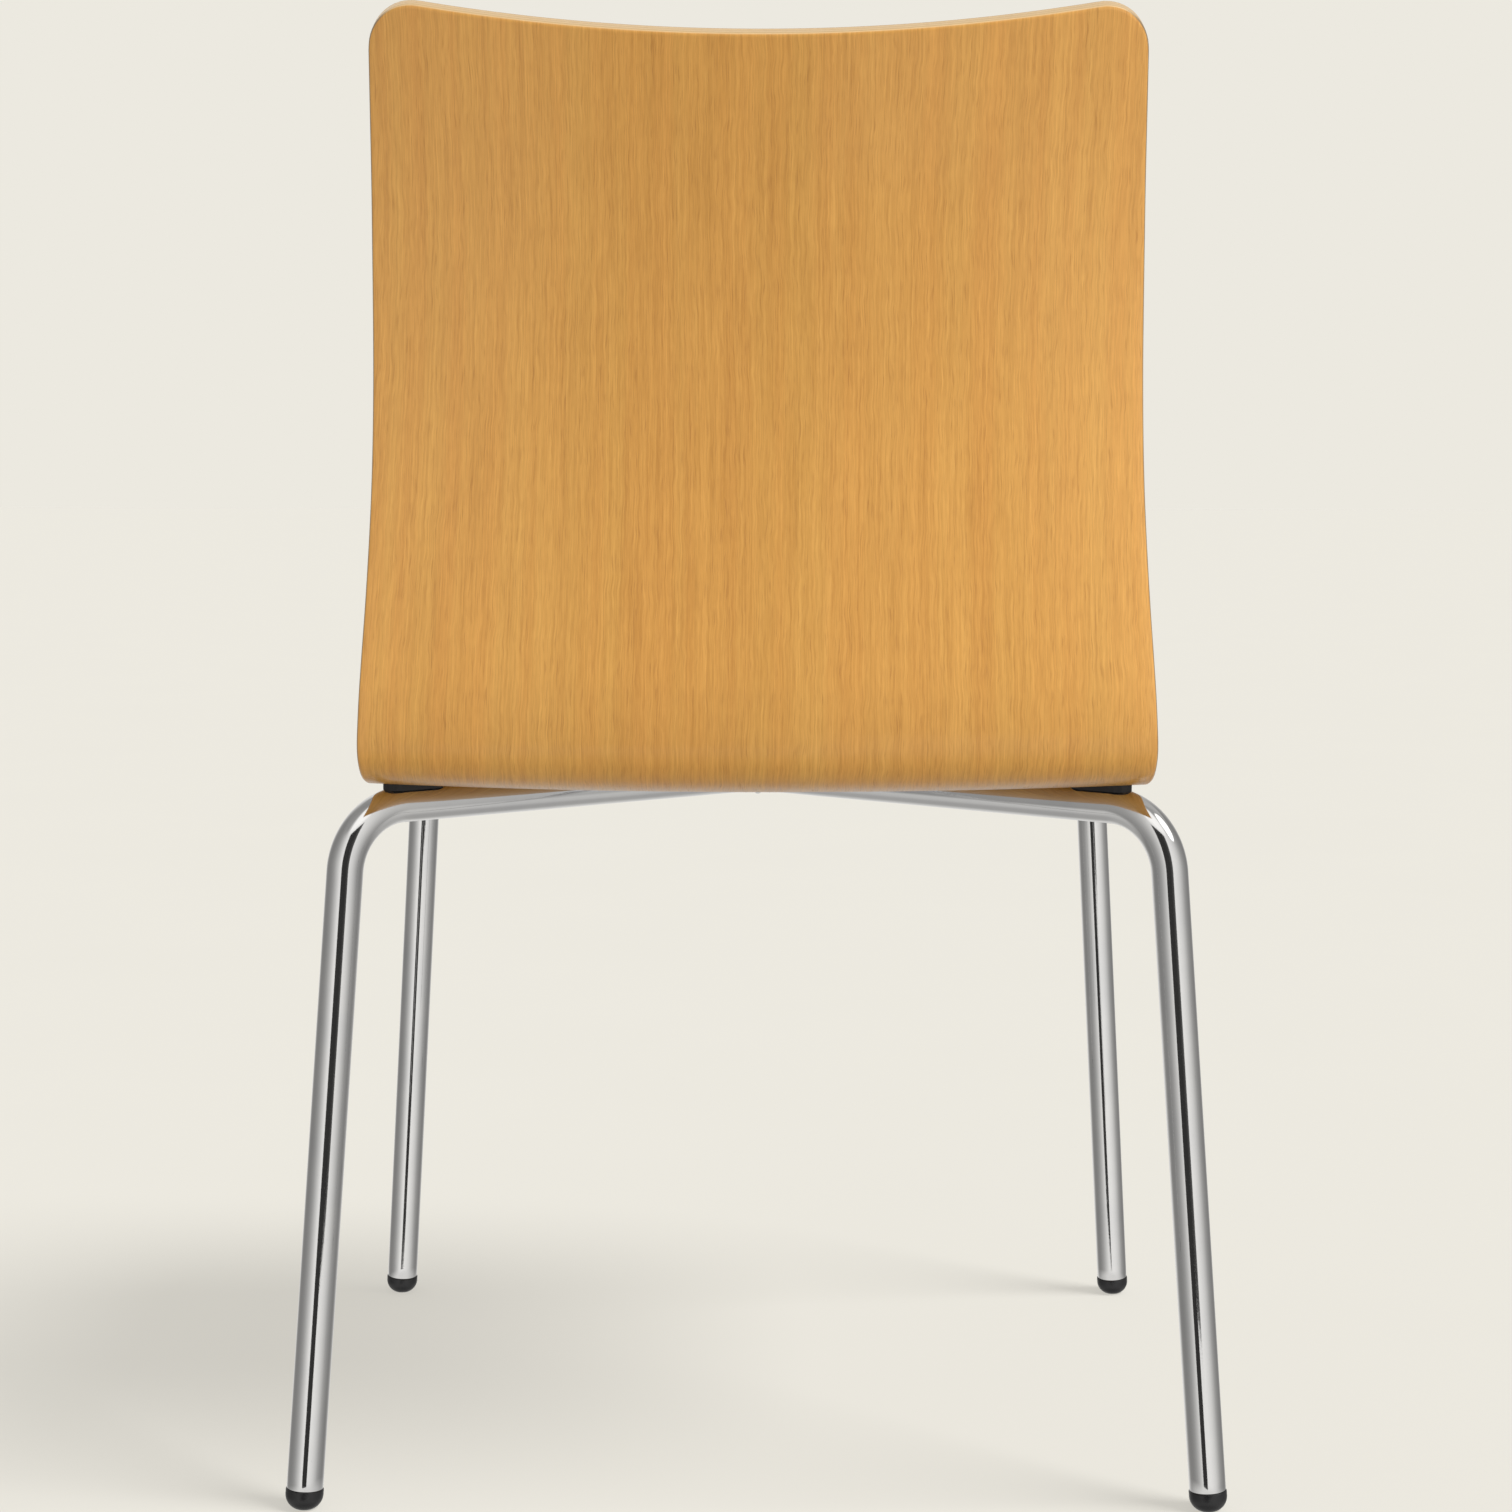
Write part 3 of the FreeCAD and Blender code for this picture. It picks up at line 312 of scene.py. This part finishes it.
def black_plastic(name, rough_lo, rough_hi, tint, grain):
    m = material(name)
    t = Tree(m)
    out = t.n("ShaderNodeOutputMaterial")
    bs = t.n("ShaderNodeBsdfPrincipled")
    t.link(bs.outputs[0], out.inputs[0])
    tc = t.n("ShaderNodeTexCoord")
    ob = tc.outputs["Object"]
    g = t.noise(ob, grain, 3.0, 0.6)
    cloud = t.noise(ob, 70.0, 3.0, 0.6)
    dust = t.noise(ob, 1700.0, 1.0, 0.5)
    col = t.mix(t.map(cloud, 0.3, 0.7, 0.0, 1.0), tint, tuple(c * 1.7 for c in tint[:3]) + (1,))
    col = t.mix(t.map(dust, 0.66, 0.80, 0.0, 0.30), col, (0.10, 0.098, 0.095, 1))
    t.link(col, bs.inputs["Base Color"])
    t.link(t.math("ADD", t.map(g, 0.3, 0.7, rough_lo, rough_hi), t.map(cloud, 0.3, 0.7, 0.0, 0.06)),
           bs.inputs["Roughness"])
    bump = t.n("ShaderNodeBump", inp={"Strength": 0.35, "Distance": 0.00010})
    t.link(g, bump.inputs["Height"])
    t.link(bump.outputs[0], bs.inputs["Normal"])
    return m


MAT_WOOD = veneer()
MAT_CHROME = chrome()
MAT_ZINC = zinc()
MAT_GLIDE = black_plastic("black_moulded_plastic", 0.26, 0.38, (0.008, 0.008, 0.009, 1), 900.0)
MAT_PAD = black_plastic("black_rubber", 0.48, 0.62, (0.010, 0.010, 0.011, 1), 1300.0)

# =====================================================================
# plywood shell, the same tables as the CAD model (mm)
# =====================================================================
SLOPE = [(-40, 48), (-10, 43), (20, 30), (48, 12), (90, 0), (135, -3.8), (230, -4.2),
         (330, -3.2), (372, 3.4), (392.3, 12), (451.9, 89), (482.3, 101), (565.6, 98.5),
         (626.5, 91), (697.5, 79), (768.6, 67.5), (849.8, 63.2)]
RISE = [(-40, 2), (20, 4.5), (80, 7), (180, 8), (300, 7.5), (345, 5.6), (372, 3.95),
        (400.4, 4.55), (474.2, 6.9), (606.2, 13.8), (707.7, 17.7), (849.8, 18.9)]
WIDTH = [(-40, 205), (-10, 208), (50, 213), (110, 217), (200, 219), (300, 217.6),
         (360, 215), (390.3, 213.8), (421.7, 213.8), (453.9, 212.5), (484.4, 211.1),
         (514.8, 209.6), (545.3, 208.4), (575.7, 207.5), (606.2, 207.0), (636.6, 206.7),
         (667.1, 206.45), (697.5, 205.9), (728.0, 204.9), (758.4, 203.7), (788.9, 202.3),
         (849.8, 199.1)]
THICK, EASE = 11.0, 2.0
LOW_Y, LOW_Z, LOW_ARC = 166.8, 392.2, 372.0
FRONT_ARC, FRONT_BOW, FRONT_R = -10.0, 9.0, 46.0
TOP_ARC, TOP_DIP, TOP_HALF, TOP_R = 812.8, 11.3, 185.0, 24.4


def smooth_table(rows):
    xs = [float(a) for a, b in rows]
    ys = [float(b) for a, b in rows]
    m = len(xs)
    h = [xs[i + 1] - xs[i] for i in range(m - 1)]
    dl = [(ys[i + 1] - ys[i]) / h[i] for i in range(m - 1)]
    g = [0.0] * m
    for i in range(1, m - 1):
        if dl[i - 1] * dl[i] > 0:
            w1 = 2 * h[i] + h[i - 1]
            w2 = h[i] + 2 * h[i - 1]
            g[i] = (w1 + w2) / (w1 / dl[i - 1] + w2 / dl[i])
    g[0], g[-1] = dl[0], dl[-1]

    def f(q):
        q = min(max(q, xs[0]), xs[-1])
        i = 0
        while i < m - 2 and q > xs[i + 1]:
            i += 1
        u = (q - xs[i]) / h[i]
        return ((1 + 2 * u) * (1 - u) ** 2 * ys[i] + u * (1 - u) ** 2 * h[i] * g[i]
                + u * u * (3 - 2 * u) * ys[i + 1] + u * u * (u - 1) * h[i] * g[i + 1])
    return f


f_slope, f_rise, f_half = smooth_table(SLOPE), smooth_table(RISE), smooth_table(WIDTH)
S0, STEP = -38.0, 1.0
COUNT = int((844.0 - S0) / STEP)
ang = [math.radians(f_slope(S0 + STEP * i)) for i in range(COUNT + 1)]
line_y, line_z = [0.0], [0.0]
for i in range(COUNT):
    mid_a = math.radians(f_slope(S0 + STEP * (i + 0.5)))
    line_y.append(line_y[-1] + STEP * (math.cos(ang[i]) + 4 * math.cos(mid_a) + math.cos(ang[i + 1])) / 6)
    line_z.append(line_z[-1] + STEP * (math.sin(ang[i]) + 4 * math.sin(mid_a) + math.sin(ang[i + 1])) / 6)
k0 = int(round((LOW_ARC - S0) / STEP))
dy0, dz0 = LOW_Y - line_y[k0], LOW_Z - line_z[k0]
line_y = [q + dy0 for q in line_y]
line_z = [q + dz0 for q in line_z]


def lerp_at(arr, a):
    p = (a - S0) / STEP
    i = max(0, min(len(arr) - 2, int(p)))
    f = p - i
    return arr[i] * (1 - f) + arr[i + 1] * f


def shell_point(x, a, h):
    """x across, a along the arc, h through the thickness, all mm."""
    y, z, t = lerp_at(line_y, a), lerp_at(line_z, a), lerp_at(ang, a)
    d = f_rise(a) * (x / 200.0) ** 2 + h
    return (x, y - math.sin(t) * d, z + math.cos(t) * d)


def f_front(x):
    return FRONT_ARC + FRONT_BOW * (x / 200.0) ** 2


def f_top(x):
    return TOP_ARC + TOP_DIP * (x / TOP_HALF) ** 2


W_TOP = f_half(f_top(200.5) - TOP_R)                 # half width at the top corners
XC = W_TOP - TOP_R                                   # centre of the corner round
TILT = math.atan(2 * TOP_DIP * XC / TOP_HALF ** 2)
YC = f_top(XC) - TOP_R / math.cos(TILT)


def top_line(x, inset):
    """Top edge in (x, arc), level from the tangent point of the corner round outwards."""
    r = TOP_R - inset
    x = abs(x)
    if x < XC - r * math.sin(TILT):
        return f_top(x) - inset
    if x < XC:
        return YC + math.sqrt(r * r - (x - XC) ** 2)
    return YC + r


def build_shell():
    # rows: ("front", phi) .. ("mid", f) .. ("top", phi)
    rows = []
    nf, nt = 14, 14
    for k in range(nf):
        rows.append(("front", math.pi / 2 * k / nf))
    nm = 250
    for k in range(nm + 1):
        rows.append(("mid", k / nm))
    for k in range(nt - 1, -1, -1):
        rows.append(("top", math.pi / 2 * k / nt))
    nu = 88
    us = [-1.0 + 2.0 * k / nu for k in range(nu + 1)]

    def place(row, u, inset):
        rf, rt = FRONT_R - inset, TOP_R - inset
        kind, v = row
        w = f_half(0.0)
        a = 0.0
        for _ in range(4):
            if kind == "front":
                base = f_front(u * w) + inset
                a = base + rf * (1 - math.cos(v))
                w_full = f_half(f_front(f_half(0.0)) + FRONT_R * (1 - math.cos(v)))
                w = w_full - inset - rf + rf * math.sin(v)
            elif kind == "top":
                a = top_line(u * w, inset) - rt * (1 - math.cos(v))
                w = XC + rt * math.sin(v)
            else:
                lo = f_front(u * w) + inset + rf
                hi = top_line(u * w, inset) - rt
                a = lo + (hi - lo) * v
                lo_e = f_front(f_half(lo)) + FRONT_R
                hi_e = YC
                w = f_half(lo_e + (hi_e - lo_e) * v) - inset
        return u * w, a

    verts, grain, faces = [], [], []

    def add(x, a, h):
        verts.append(shell_point(x, a, h))
        grain.append((x * MM, a * MM, h * MM))
        return len(verts) - 1

    grids = []
    for h in (0.0, THICK):
        grid = []
        for row in rows:
            grid.append([add(*(place(row, u, EASE) + (h,))) for u in us])
        grids.append(grid)
    nr = len(rows)
    for gi, grid in enumerate(grids):
        for i in range(nr - 1):
            for j in range(nu):
                q = (grid[i][j], grid[i][j + 1], grid[i + 1][j + 1], grid[i + 1][j])
                faces.append(q if gi == 1 else q[::-1])
    # boundary, counter-clockwise in (x, arc)
    loop = [(0, j) for j in range(nu + 1)]
    loop += [(i, nu) for i in range(1, nr)]
    loop += [(nr - 1, j) for j in range(nu - 1, -1, -1)]
    loop += [(i, 0) for i in range(nr - 2, 0, -1)]
    steps = 5
    prof = []
    for k in range(1, steps + 1):
        th = math.pi / 2 * k / steps
        prof.append((EASE * (1 - math.sin(th)), EASE * (1 - math.cos(th))))
    n_side = 6
    for k in range(1, n_side):
        prof.append((0.0, EASE + (THICK - 2 * EASE) * k / n_side))
    for k in range(0, steps):
        th = math.pi / 2 * (1 - k / steps)
        prof.append((EASE * (1 - math.sin(th)), THICK - EASE * (1 - math.cos(th))))
    rings = [[grids[0][i][j] for i, j in loop]]
    for inset, h in prof:
        rings.append([add(*(place(rows[i], us[j], inset) + (h,))) for i, j in loop])
    rings.append([grids[1][i][j] for i, j in loop])
    m = len(loop)
    for r in range(len(rings) - 1):
        for k in range(m):
            k2 = (k + 1) % m
            faces.append((rings[r][k], rings[r][k2], rings[r + 1][k2], rings[r + 1][k]))
    # into the row frame: the centre plate stands on the middle of the design frame
    lo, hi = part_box("centre_plate")
    oy = (lo[1] + hi[1]) / 2 / MM
    verts = [(x * MM, (y + oy) * MM, z * MM) for x, y, z in verts]
    ob = make_object("shell_veneered", verts, faces, MAT_WOOD)
    attr = ob.data.attributes.new("grain", "FLOAT_VECTOR", "POINT")
    flat = [c for g in grain for c in g]
    attr.data.foreach_set("vector", flat)
    return ob


shell = build_shell()
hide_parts("plywood_shell")
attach(shell, "root")

# =====================================================================
# chromed tubes (mm, in the plane of each inverted U)
# =====================================================================
lo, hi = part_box("centre_plate")
CEN = Vector(((lo[0] + hi[0]) / 2, (lo[1] + hi[1]) / 2, 0.0))
lo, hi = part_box("leg_tube_through")
OD = 20.0
BAR = hi[2] / MM - OD / 2
TURN, BEND, END_H = math.radians(39.525), 37.5, 11.2
REAR = (288.05, math.radians(5.13))         # reach of the corner, splay of the leg
FRONT = (290.2, math.radians(4.67))


def half_line(with_centre, side):
    """(radial, z) points from the centre to the foot with their tangents."""
    reach, splay = side
    tan_len = BEND * math.tan((math.pi / 2 - splay) / 2)
    xa = reach - tan_len
    pts = []
    n = 30
    for k in range(0 if with_centre else 1, n + 1):
        pts.append((xa * k / n, BAR, 0.0))
    turn = math.pi / 2 - splay
    n = 40
    for k in range(1, n + 1):
        a = turn * k / n
        pts.append((xa + BEND * math.sin(a), BAR - BEND * (1 - math.cos(a)), -a))
    x1, z1, a1 = pts[-1]
    n = 44
    for k in range(1, n + 1):
        z = z1 + (END_H - z1) * k / n
        pts.append((x1 + (z1 - z) * math.tan(splay), z, a1))
    return pts


def tube_object(name, line, yaw, close_ends, start_at=None):
    """line: (radial, z, tangent angle) with the tangent turning in the plane."""
    seg = 80
    er = Vector((math.cos(yaw), math.sin(yaw), 0.0))
    side = Vector((-math.sin(yaw), math.cos(yaw), 0.0))
    up = Vector((0, 0, 1))
    verts, faces, rings = [], [], []

    def ring(rad, z, a, r, along=0.0):
        t = er * math.cos(a) + up * math.sin(a)
        nrm = -er * math.sin(a) + up * math.cos(a)
        c = CEN + (er * rad + up * z) * MM + t * along * MM
        idx = []
        for k in range(seg):
            q = 2 * math.pi * k / seg
            v = c + (nrm * math.cos(q) + side * math.sin(q)) * r * MM
            idx.append(len(verts))
            verts.append(v)
        rings.append(idx)

    R = OD / 2
    first, last = line[0], line[-1]
    ch = 0.5

    def end(p, sign, order):
        inner = [(R - 1.5, 6.0), (R - 1.5, 0.35), (R - 1.35, 0.08), (R - 1.1, 0.0),
                 (R - ch - 0.1, 0.0), (R - ch * 0.6, 0.08), (R - ch * 0.25, 0.25), (R, ch + 0.1)]
        seq = inner if order > 0 else inner[::-1]
        for r, off in seq:
            ring(p[0], p[1], p[2], r, -sign * off)

    if close_ends[0]:
        end(first, -1, 1)
    else:
        ring(first[0], first[1], first[2], R)
    for p in line[1:-1]:
        ring(p[0], p[1], p[2], R)
    if close_ends[1]:
        end(last, 1, -1)
    else:
        ring(last[0], last[1], last[2], R)
    for a, b in zip(rings[:-1], rings[1:]):
        for k in range(seg):
            k2 = (k + 1) % seg
            faces.append((a[k], a[k2], b[k2], b[k]))
    return make_object(name, verts, faces, MAT_CHROME)


right = half_line(True, REAR)
left = [(-x, z, -a) for x, z, a in reversed(half_line(True, FRONT)[1:])]
through = tube_object("tube_through", left + right, TURN, (True, True))
half_r = tube_object("tube_half_right", half_line(True, REAR), math.pi - TURN, (False, True))
half_l = tube_object("tube_half_left", half_line(True, FRONT), 2 * math.pi - TURN, (False, True))
for ob, node in ((through, "leg_tube_through"), (half_r, "leg_tube_half_right"),
                 (half_l, "leg_tube_half_left")):
    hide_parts(node)
    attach(ob, "root")

# =====================================================================
# foot glides
# =====================================================================
def glide(name, node, sx, sy):
    rg, col, rc, rs = 10.4, 3.2, 8.6, 7.9
    prof = [(0.0, -col - rc), (rg - rc, -col - rc)]
    n = 22
    for k in range(1, n + 1):
        a = -math.pi / 2 + (math.pi / 2) * k / n
        prof.append((rg - rc + rc * math.cos(a), -col + rc * math.sin(a)))
    prof += [(rg, -0.75), (rg - 0.05, -0.5), (rg - 0.18, -0.25), (rg - 0.4, -0.06), (rg - 0.7, 0.0),
             (9.2, 0.0), (rs + 0.2, 0.0), (rs, 0.2)]
    for j in range(3):
        z = 3.0 + 5.0 * j
        prof += [(rs, z), (8.45, z + 0.1), (8.45, z + 1.1), (rs, z + 2.4)]
    prof += [(rs, 17.0), (rs - 0.4, 17.7), (rs - 1.0, 18.0), (0.0, 18.0)]
    seg = 72
    corner_r, splay = REAR if sy > 0 else FRONT
    reach = corner_r + (BAR - END_H) * math.tan(splay)
    yaw = math.atan2(sy * math.sin(TURN), sx * math.cos(TURN))
    er = Vector((math.cos(yaw), math.sin(yaw), 0.0))
    side = Vector((-math.sin(yaw), math.cos(yaw), 0.0))
    axis = -er * math.sin(splay) + Vector((0, 0, 1)) * math.cos(splay)
    perp = er * math.cos(splay) + Vector((0, 0, 1)) * math.sin(splay)
    c = CEN + er * reach * MM + Vector((0, 0, END_H * MM))
    verts, faces = [], []
    rings = []
    for r, z in prof:
        if r == 0.0:
            rings.append([len(verts)])
            verts.append(c + axis * z * MM)
            continue
        idx = []
        for k in range(seg):
            q = 2 * math.pi * k / seg
            idx.append(len(verts))
            v = c + axis * z * MM + (perp * math.cos(q) + side * math.sin(q)) * r * MM
            verts.append(v)
        rings.append(idx)
    # worn flat where it meets the floor
    verts = [Vector((v.x, v.y, max(v.z, 0.0))) for v in verts]
    for a, b in zip(rings[:-1], rings[1:]):
        for k in range(seg):
            k2 = (k + 1) % seg
            if len(a) == 1:
                faces.append((a[0], b[k2], b[k]))
            elif len(b) == 1:
                faces.append((a[k], a[k2], b[0]))
            else:
                faces.append((a[k], a[k2], b[k2], b[k]))
    ob = make_object(name, verts, faces, MAT_GLIDE)
    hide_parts(node)
    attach(ob, "root")
    return ob


for nm, sx, sy in (("rear_left", 1, 1), ("front_right", -1, -1),
                   ("front_left", 1, -1), ("rear_right", -1, 1)):
    glide("foot_" + nm, "glide_" + nm, sx, sy)

# =====================================================================
# CAD nodes that stay, with better materials
# =====================================================================
BY_PREFIX = [("weld_bead", MAT_CHROME), ("centre_plate", MAT_ZINC), ("screw", MAT_ZINC),
             ("washer", MAT_ZINC), ("insert", MAT_ZINC), ("spacer", MAT_GLIDE), ("pad_", MAT_PAD)]
for name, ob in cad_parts.items():
    for prefix, mat in BY_PREFIX:
        if name.startswith(prefix):
            if not ob.material_slots:
                ob.data.materials.append(mat)
            for s in ob.material_slots:
                s.material = mat

# =====================================================================
# floor, light and camera
# =====================================================================
PALE = rgb(236, 233, 224)
AMB_UP = 0.92                       # soft surroundings, upper half
FLOOR_ALB = 0.12                    # the floor is mostly self-lit, so it stays one even tone
KEY_SHARE = 0.25
fm = material("pale_floor")
t = Tree(fm)
out = t.n("ShaderNodeOutputMaterial")
bs = t.n("ShaderNodeBsdfPrincipled")
t.link(bs.outputs[0], out.inputs[0])
tc = t.n("ShaderNodeTexCoord")
fn = t.noise(tc.outputs["Object"], 3.0, 4.0, 0.6)
t.link(t.mix(t.map(fn, 0.3, 0.7, 0.0, 1.0), tuple(c * FLOOR_ALB for c in PALE[:3]) + (1,),
             tuple(c * FLOOR_ALB * 1.02 for c in PALE[:3]) + (1,)), bs.inputs["Base Color"])
bs.inputs["Roughness"].default_value = 1.0
bs.inputs["Specular IOR Level"].default_value = 0.0
bs.inputs["Emission Color"].default_value = PALE
bs.inputs["Emission Strength"].default_value = 1.0 - KEY_SHARE - FLOOR_ALB * AMB_UP
floor = make_object("floor", [(-60, -60, 0), (60, -60, 0), (60, 60, 0), (-60, 60, 0)],
                    [(0, 1, 2, 3)], fm, smooth=False)
floor.visible_glossy = False
floor.visible_diffuse = False

world = bpy.data.worlds.new("soft_studio")
scene.world = world
t = Tree(world)
out = t.n("ShaderNodeOutputWorld")
lp = t.n("ShaderNodeLightPath")
tc = t.n("ShaderNodeTexCoord")
sep = t.n("ShaderNodeSeparateXYZ")
t.link(tc.outputs["Generated"], sep.inputs[0])
# azimuth: 0 towards +Y, positive towards -X
az = t.math("ARCTAN2", t.math("MULTIPLY", sep.outputs[0], -1.0), sep.outputs[1])
az01 = t.math("ADD", t.math("DIVIDE", az, 2 * math.pi), 0.5)
el = t.math("MULTIPLY", t.math("ARCSINE", sep.outputs[2]), 180.0 / math.pi)


def lum(v, k=1.0):
    c = rgb(v, v, v)[0] * k / 0.755
    return (c, c * 0.99, c * 0.965, 1.0)


def azp(deg):
    return deg / 360.0 + 0.5


def band_of(stops):
    return t.ramp(az01, [(azp(a), lum(v)) for a, v in stops])


ring = band_of([(-180, 205), (-157, 205), (-142, 165), (-127, 128), (-112, 122), (-97, 124), (-82, 132),
                (-67, 146), (-52, 168), (-37, 194), (-22, 218), (0, 222), (22, 220), (37, 212),
                (52, 200), (67, 180), (82, 155), (97, 138), (112, 128), (127, 120), (142, 138),
                (157, 165), (180, 205)])
low = band_of([(-180, 200), (-150, 160), (-120, 160), (-97, 174), (-75, 186), (-40, 205), (0, 205),
               (40, 205), (75, 186), (97, 174), (120, 160), (150, 165), (180, 200)])
high = band_of([(-180, 155), (-120, 130), (-90, 132), (-52, 142), (-37, 190), (-28, 238), (0, 243),
                (28, 241), (37, 208), (52, 150), (90, 142), (120, 165), (180, 155)])
sky = t.mix(t.map(el, -33.0, -22.0, 1.0, 0.0), ring, low)
sky = t.mix(t.map(el, -58.0, -46.0, 1.0, 0.0), sky, lum(152))
sky = t.mix(t.map(el, 38.0, 46.0, 0.0, 1.0), sky, high)
b_cam = t.n("ShaderNodeBackground", inp={"Color": PALE, "Strength": 1.0})
soft = t.math("ADD", t.math("MULTIPLY", sep.outputs[2], 0.06), AMB_UP - 0.03)
soft = t.math("ADD", soft, t.math("MULTIPLY", sep.outputs[0], -0.05))
soft = t.math("MULTIPLY", soft, t.map(sep.outputs[2], -0.96, -0.62, 0.12, 1.0))
b_dif = t.n("ShaderNodeBackground", inp={"Color": (1.0, 0.985, 0.955, 1)})
t.link(soft, b_dif.inputs["Strength"])
b_gls = t.n("ShaderNodeBackground", inp={"Strength": 1.0})
t.link(sky, b_gls.inputs["Color"])
m1 = t.n("ShaderNodeMixShader")
t.link(lp.outputs["Is Glossy Ray"], m1.inputs[0])
t.link(b_dif.outputs[0], m1.inputs[1])
t.link(b_gls.outputs[0], m1.inputs[2])
m2 = t.n("ShaderNodeMixShader")
t.link(lp.outputs["Is Camera Ray"], m2.inputs[0])
t.link(m1.outputs[0], m2.inputs[1])
t.link(b_cam.outputs[0], m2.inputs[2])
t.link(m2.outputs[0], out.inputs[0])

def link_to(light_ob, name, state):
    """The light reaches only the floor (INCLUDE) or everything but it (EXCLUDE)."""
    col = bpy.data.collections.new(name)
    col.objects.link(floor)
    col.collection_objects[0].light_linking.link_state = state
    light_ob.light_linking.receiver_collection = col


def sun(name, energy, angle, direction, state):
    li = bpy.data.lights.new(name, "SUN")
    li.energy = energy
    li.angle = math.radians(angle)
    li.color = (1.0, 0.985, 0.955)
    ob = bpy.data.objects.new(name, li)
    scene.collection.objects.link(ob)
    ob.rotation_euler = Vector(direction).normalized().to_track_quat("Z", "Y").to_euler()
    link_to(ob, name + "_reach", state)
    return ob


SUN_DIR = Vector((-0.80, 0.27, 1.0)).normalized()
key = sun("key", 0.35, 34, SUN_DIR, "EXCLUDE")
floor_key = sun("floor_key", KEY_SHARE * math.pi / (FLOOR_ALB * SUN_DIR.z), 29, SUN_DIR, "INCLUDE")
floor_key.data.color = (1.0, 1.0, 1.0)
box = bpy.data.lights.new("side_box", "AREA")
box.shape = "SQUARE"
box.size = 0.7
box.energy = 5.0
box.color = (1.0, 0.985, 0.955)
bob = bpy.data.objects.new("side_box", box)
scene.collection.objects.link(bob)
bob.location = (-1.15, 1.05, 0.80)
bob.rotation_euler = (Vector(bob.location) - Vector((0, 0.15, 0.6))).to_track_quat("Z", "Y").to_euler()
link_to(bob, "side_reach", "EXCLUDE")
bob.visible_glossy = False

# the unlit part of the room behind the camera, seen only in the polished metal
dm = material("unlit_room")
t = Tree(dm)
out = t.n("ShaderNodeOutputMaterial")
em = t.n("ShaderNodeEmission", inp={"Strength": 1.0})
t.link(em.outputs[0], out.inputs[0])
tc = t.n("ShaderNodeTexCoord")
sep = t.n("ShaderNodeSeparateXYZ")
t.link(tc.outputs["Object"], sep.inputs[0])
across = t.map(sep.outputs[0], -0.70, 0.70, 0.0, 1.0)
t.link(t.ramp(across, [(0.0, lum(120)), (0.08, lum(92)), (0.20, lum(62)), (0.40, lum(46)), (1.0, lum(48))]),
       em.inputs["Color"])


def mirror_panel(name, outlines, mat):
    """Backdrop behind the camera, seen only in the polished metal."""
    verts, faces = [], []
    for pts in outlines:
        faces.append(tuple(range(len(verts), len(verts) + len(pts))))
        verts += pts
    ob = make_object(name, verts, faces, mat, smooth=False)
    ob.visible_camera = False
    ob.visible_diffuse = False
    ob.visible_shadow = False
    ob.visible_transmission = False
    return ob


DY = CEN.y + 1.75
mirror_panel("unlit_room_panel",
             [[(-0.62, DY, -0.20), (-0.16, DY, -0.20), (-0.16, DY, 1.62), (-0.62, DY, 1.62)],
              [(-0.16, DY, -0.80), (0.60, DY, -0.80), (0.60, DY, 1.62), (-0.16, DY, 1.62)]], dm)
# camera: square picture, level with the back, looking slightly down
cam_data = bpy.data.cameras.new("camera")
cam = bpy.data.objects.new("camera", cam_data)
scene.collection.objects.link(cam)
cam_data.sensor_width = 36.0
cam_data.sensor_fit = "HORIZONTAL"
cam_data.lens = 36.0 * 2752.3 / 1512.0
cam.location = (CEN.x - 0.0016, CEN.y + 1.6702, 0.5608)
cam.rotation_euler = (Matrix.Rotation(math.radians(180.092), 3, "Z")
                      @ Matrix.Rotation(math.radians(90.0 - 5.655), 3, "X")
                      @ Matrix.Rotation(math.radians(0.097), 3, "Z")).to_euler()
cam_data.clip_start = 0.05
cam_data.clip_end = 200.0
cam_data.dof.use_dof = False
scene.camera = cam
scene.view_settings.view_transform = "Standard"
scene.view_settings.look = "None"
scene.view_settings.exposure = 0.0
scene.view_settings.gamma = 1.0
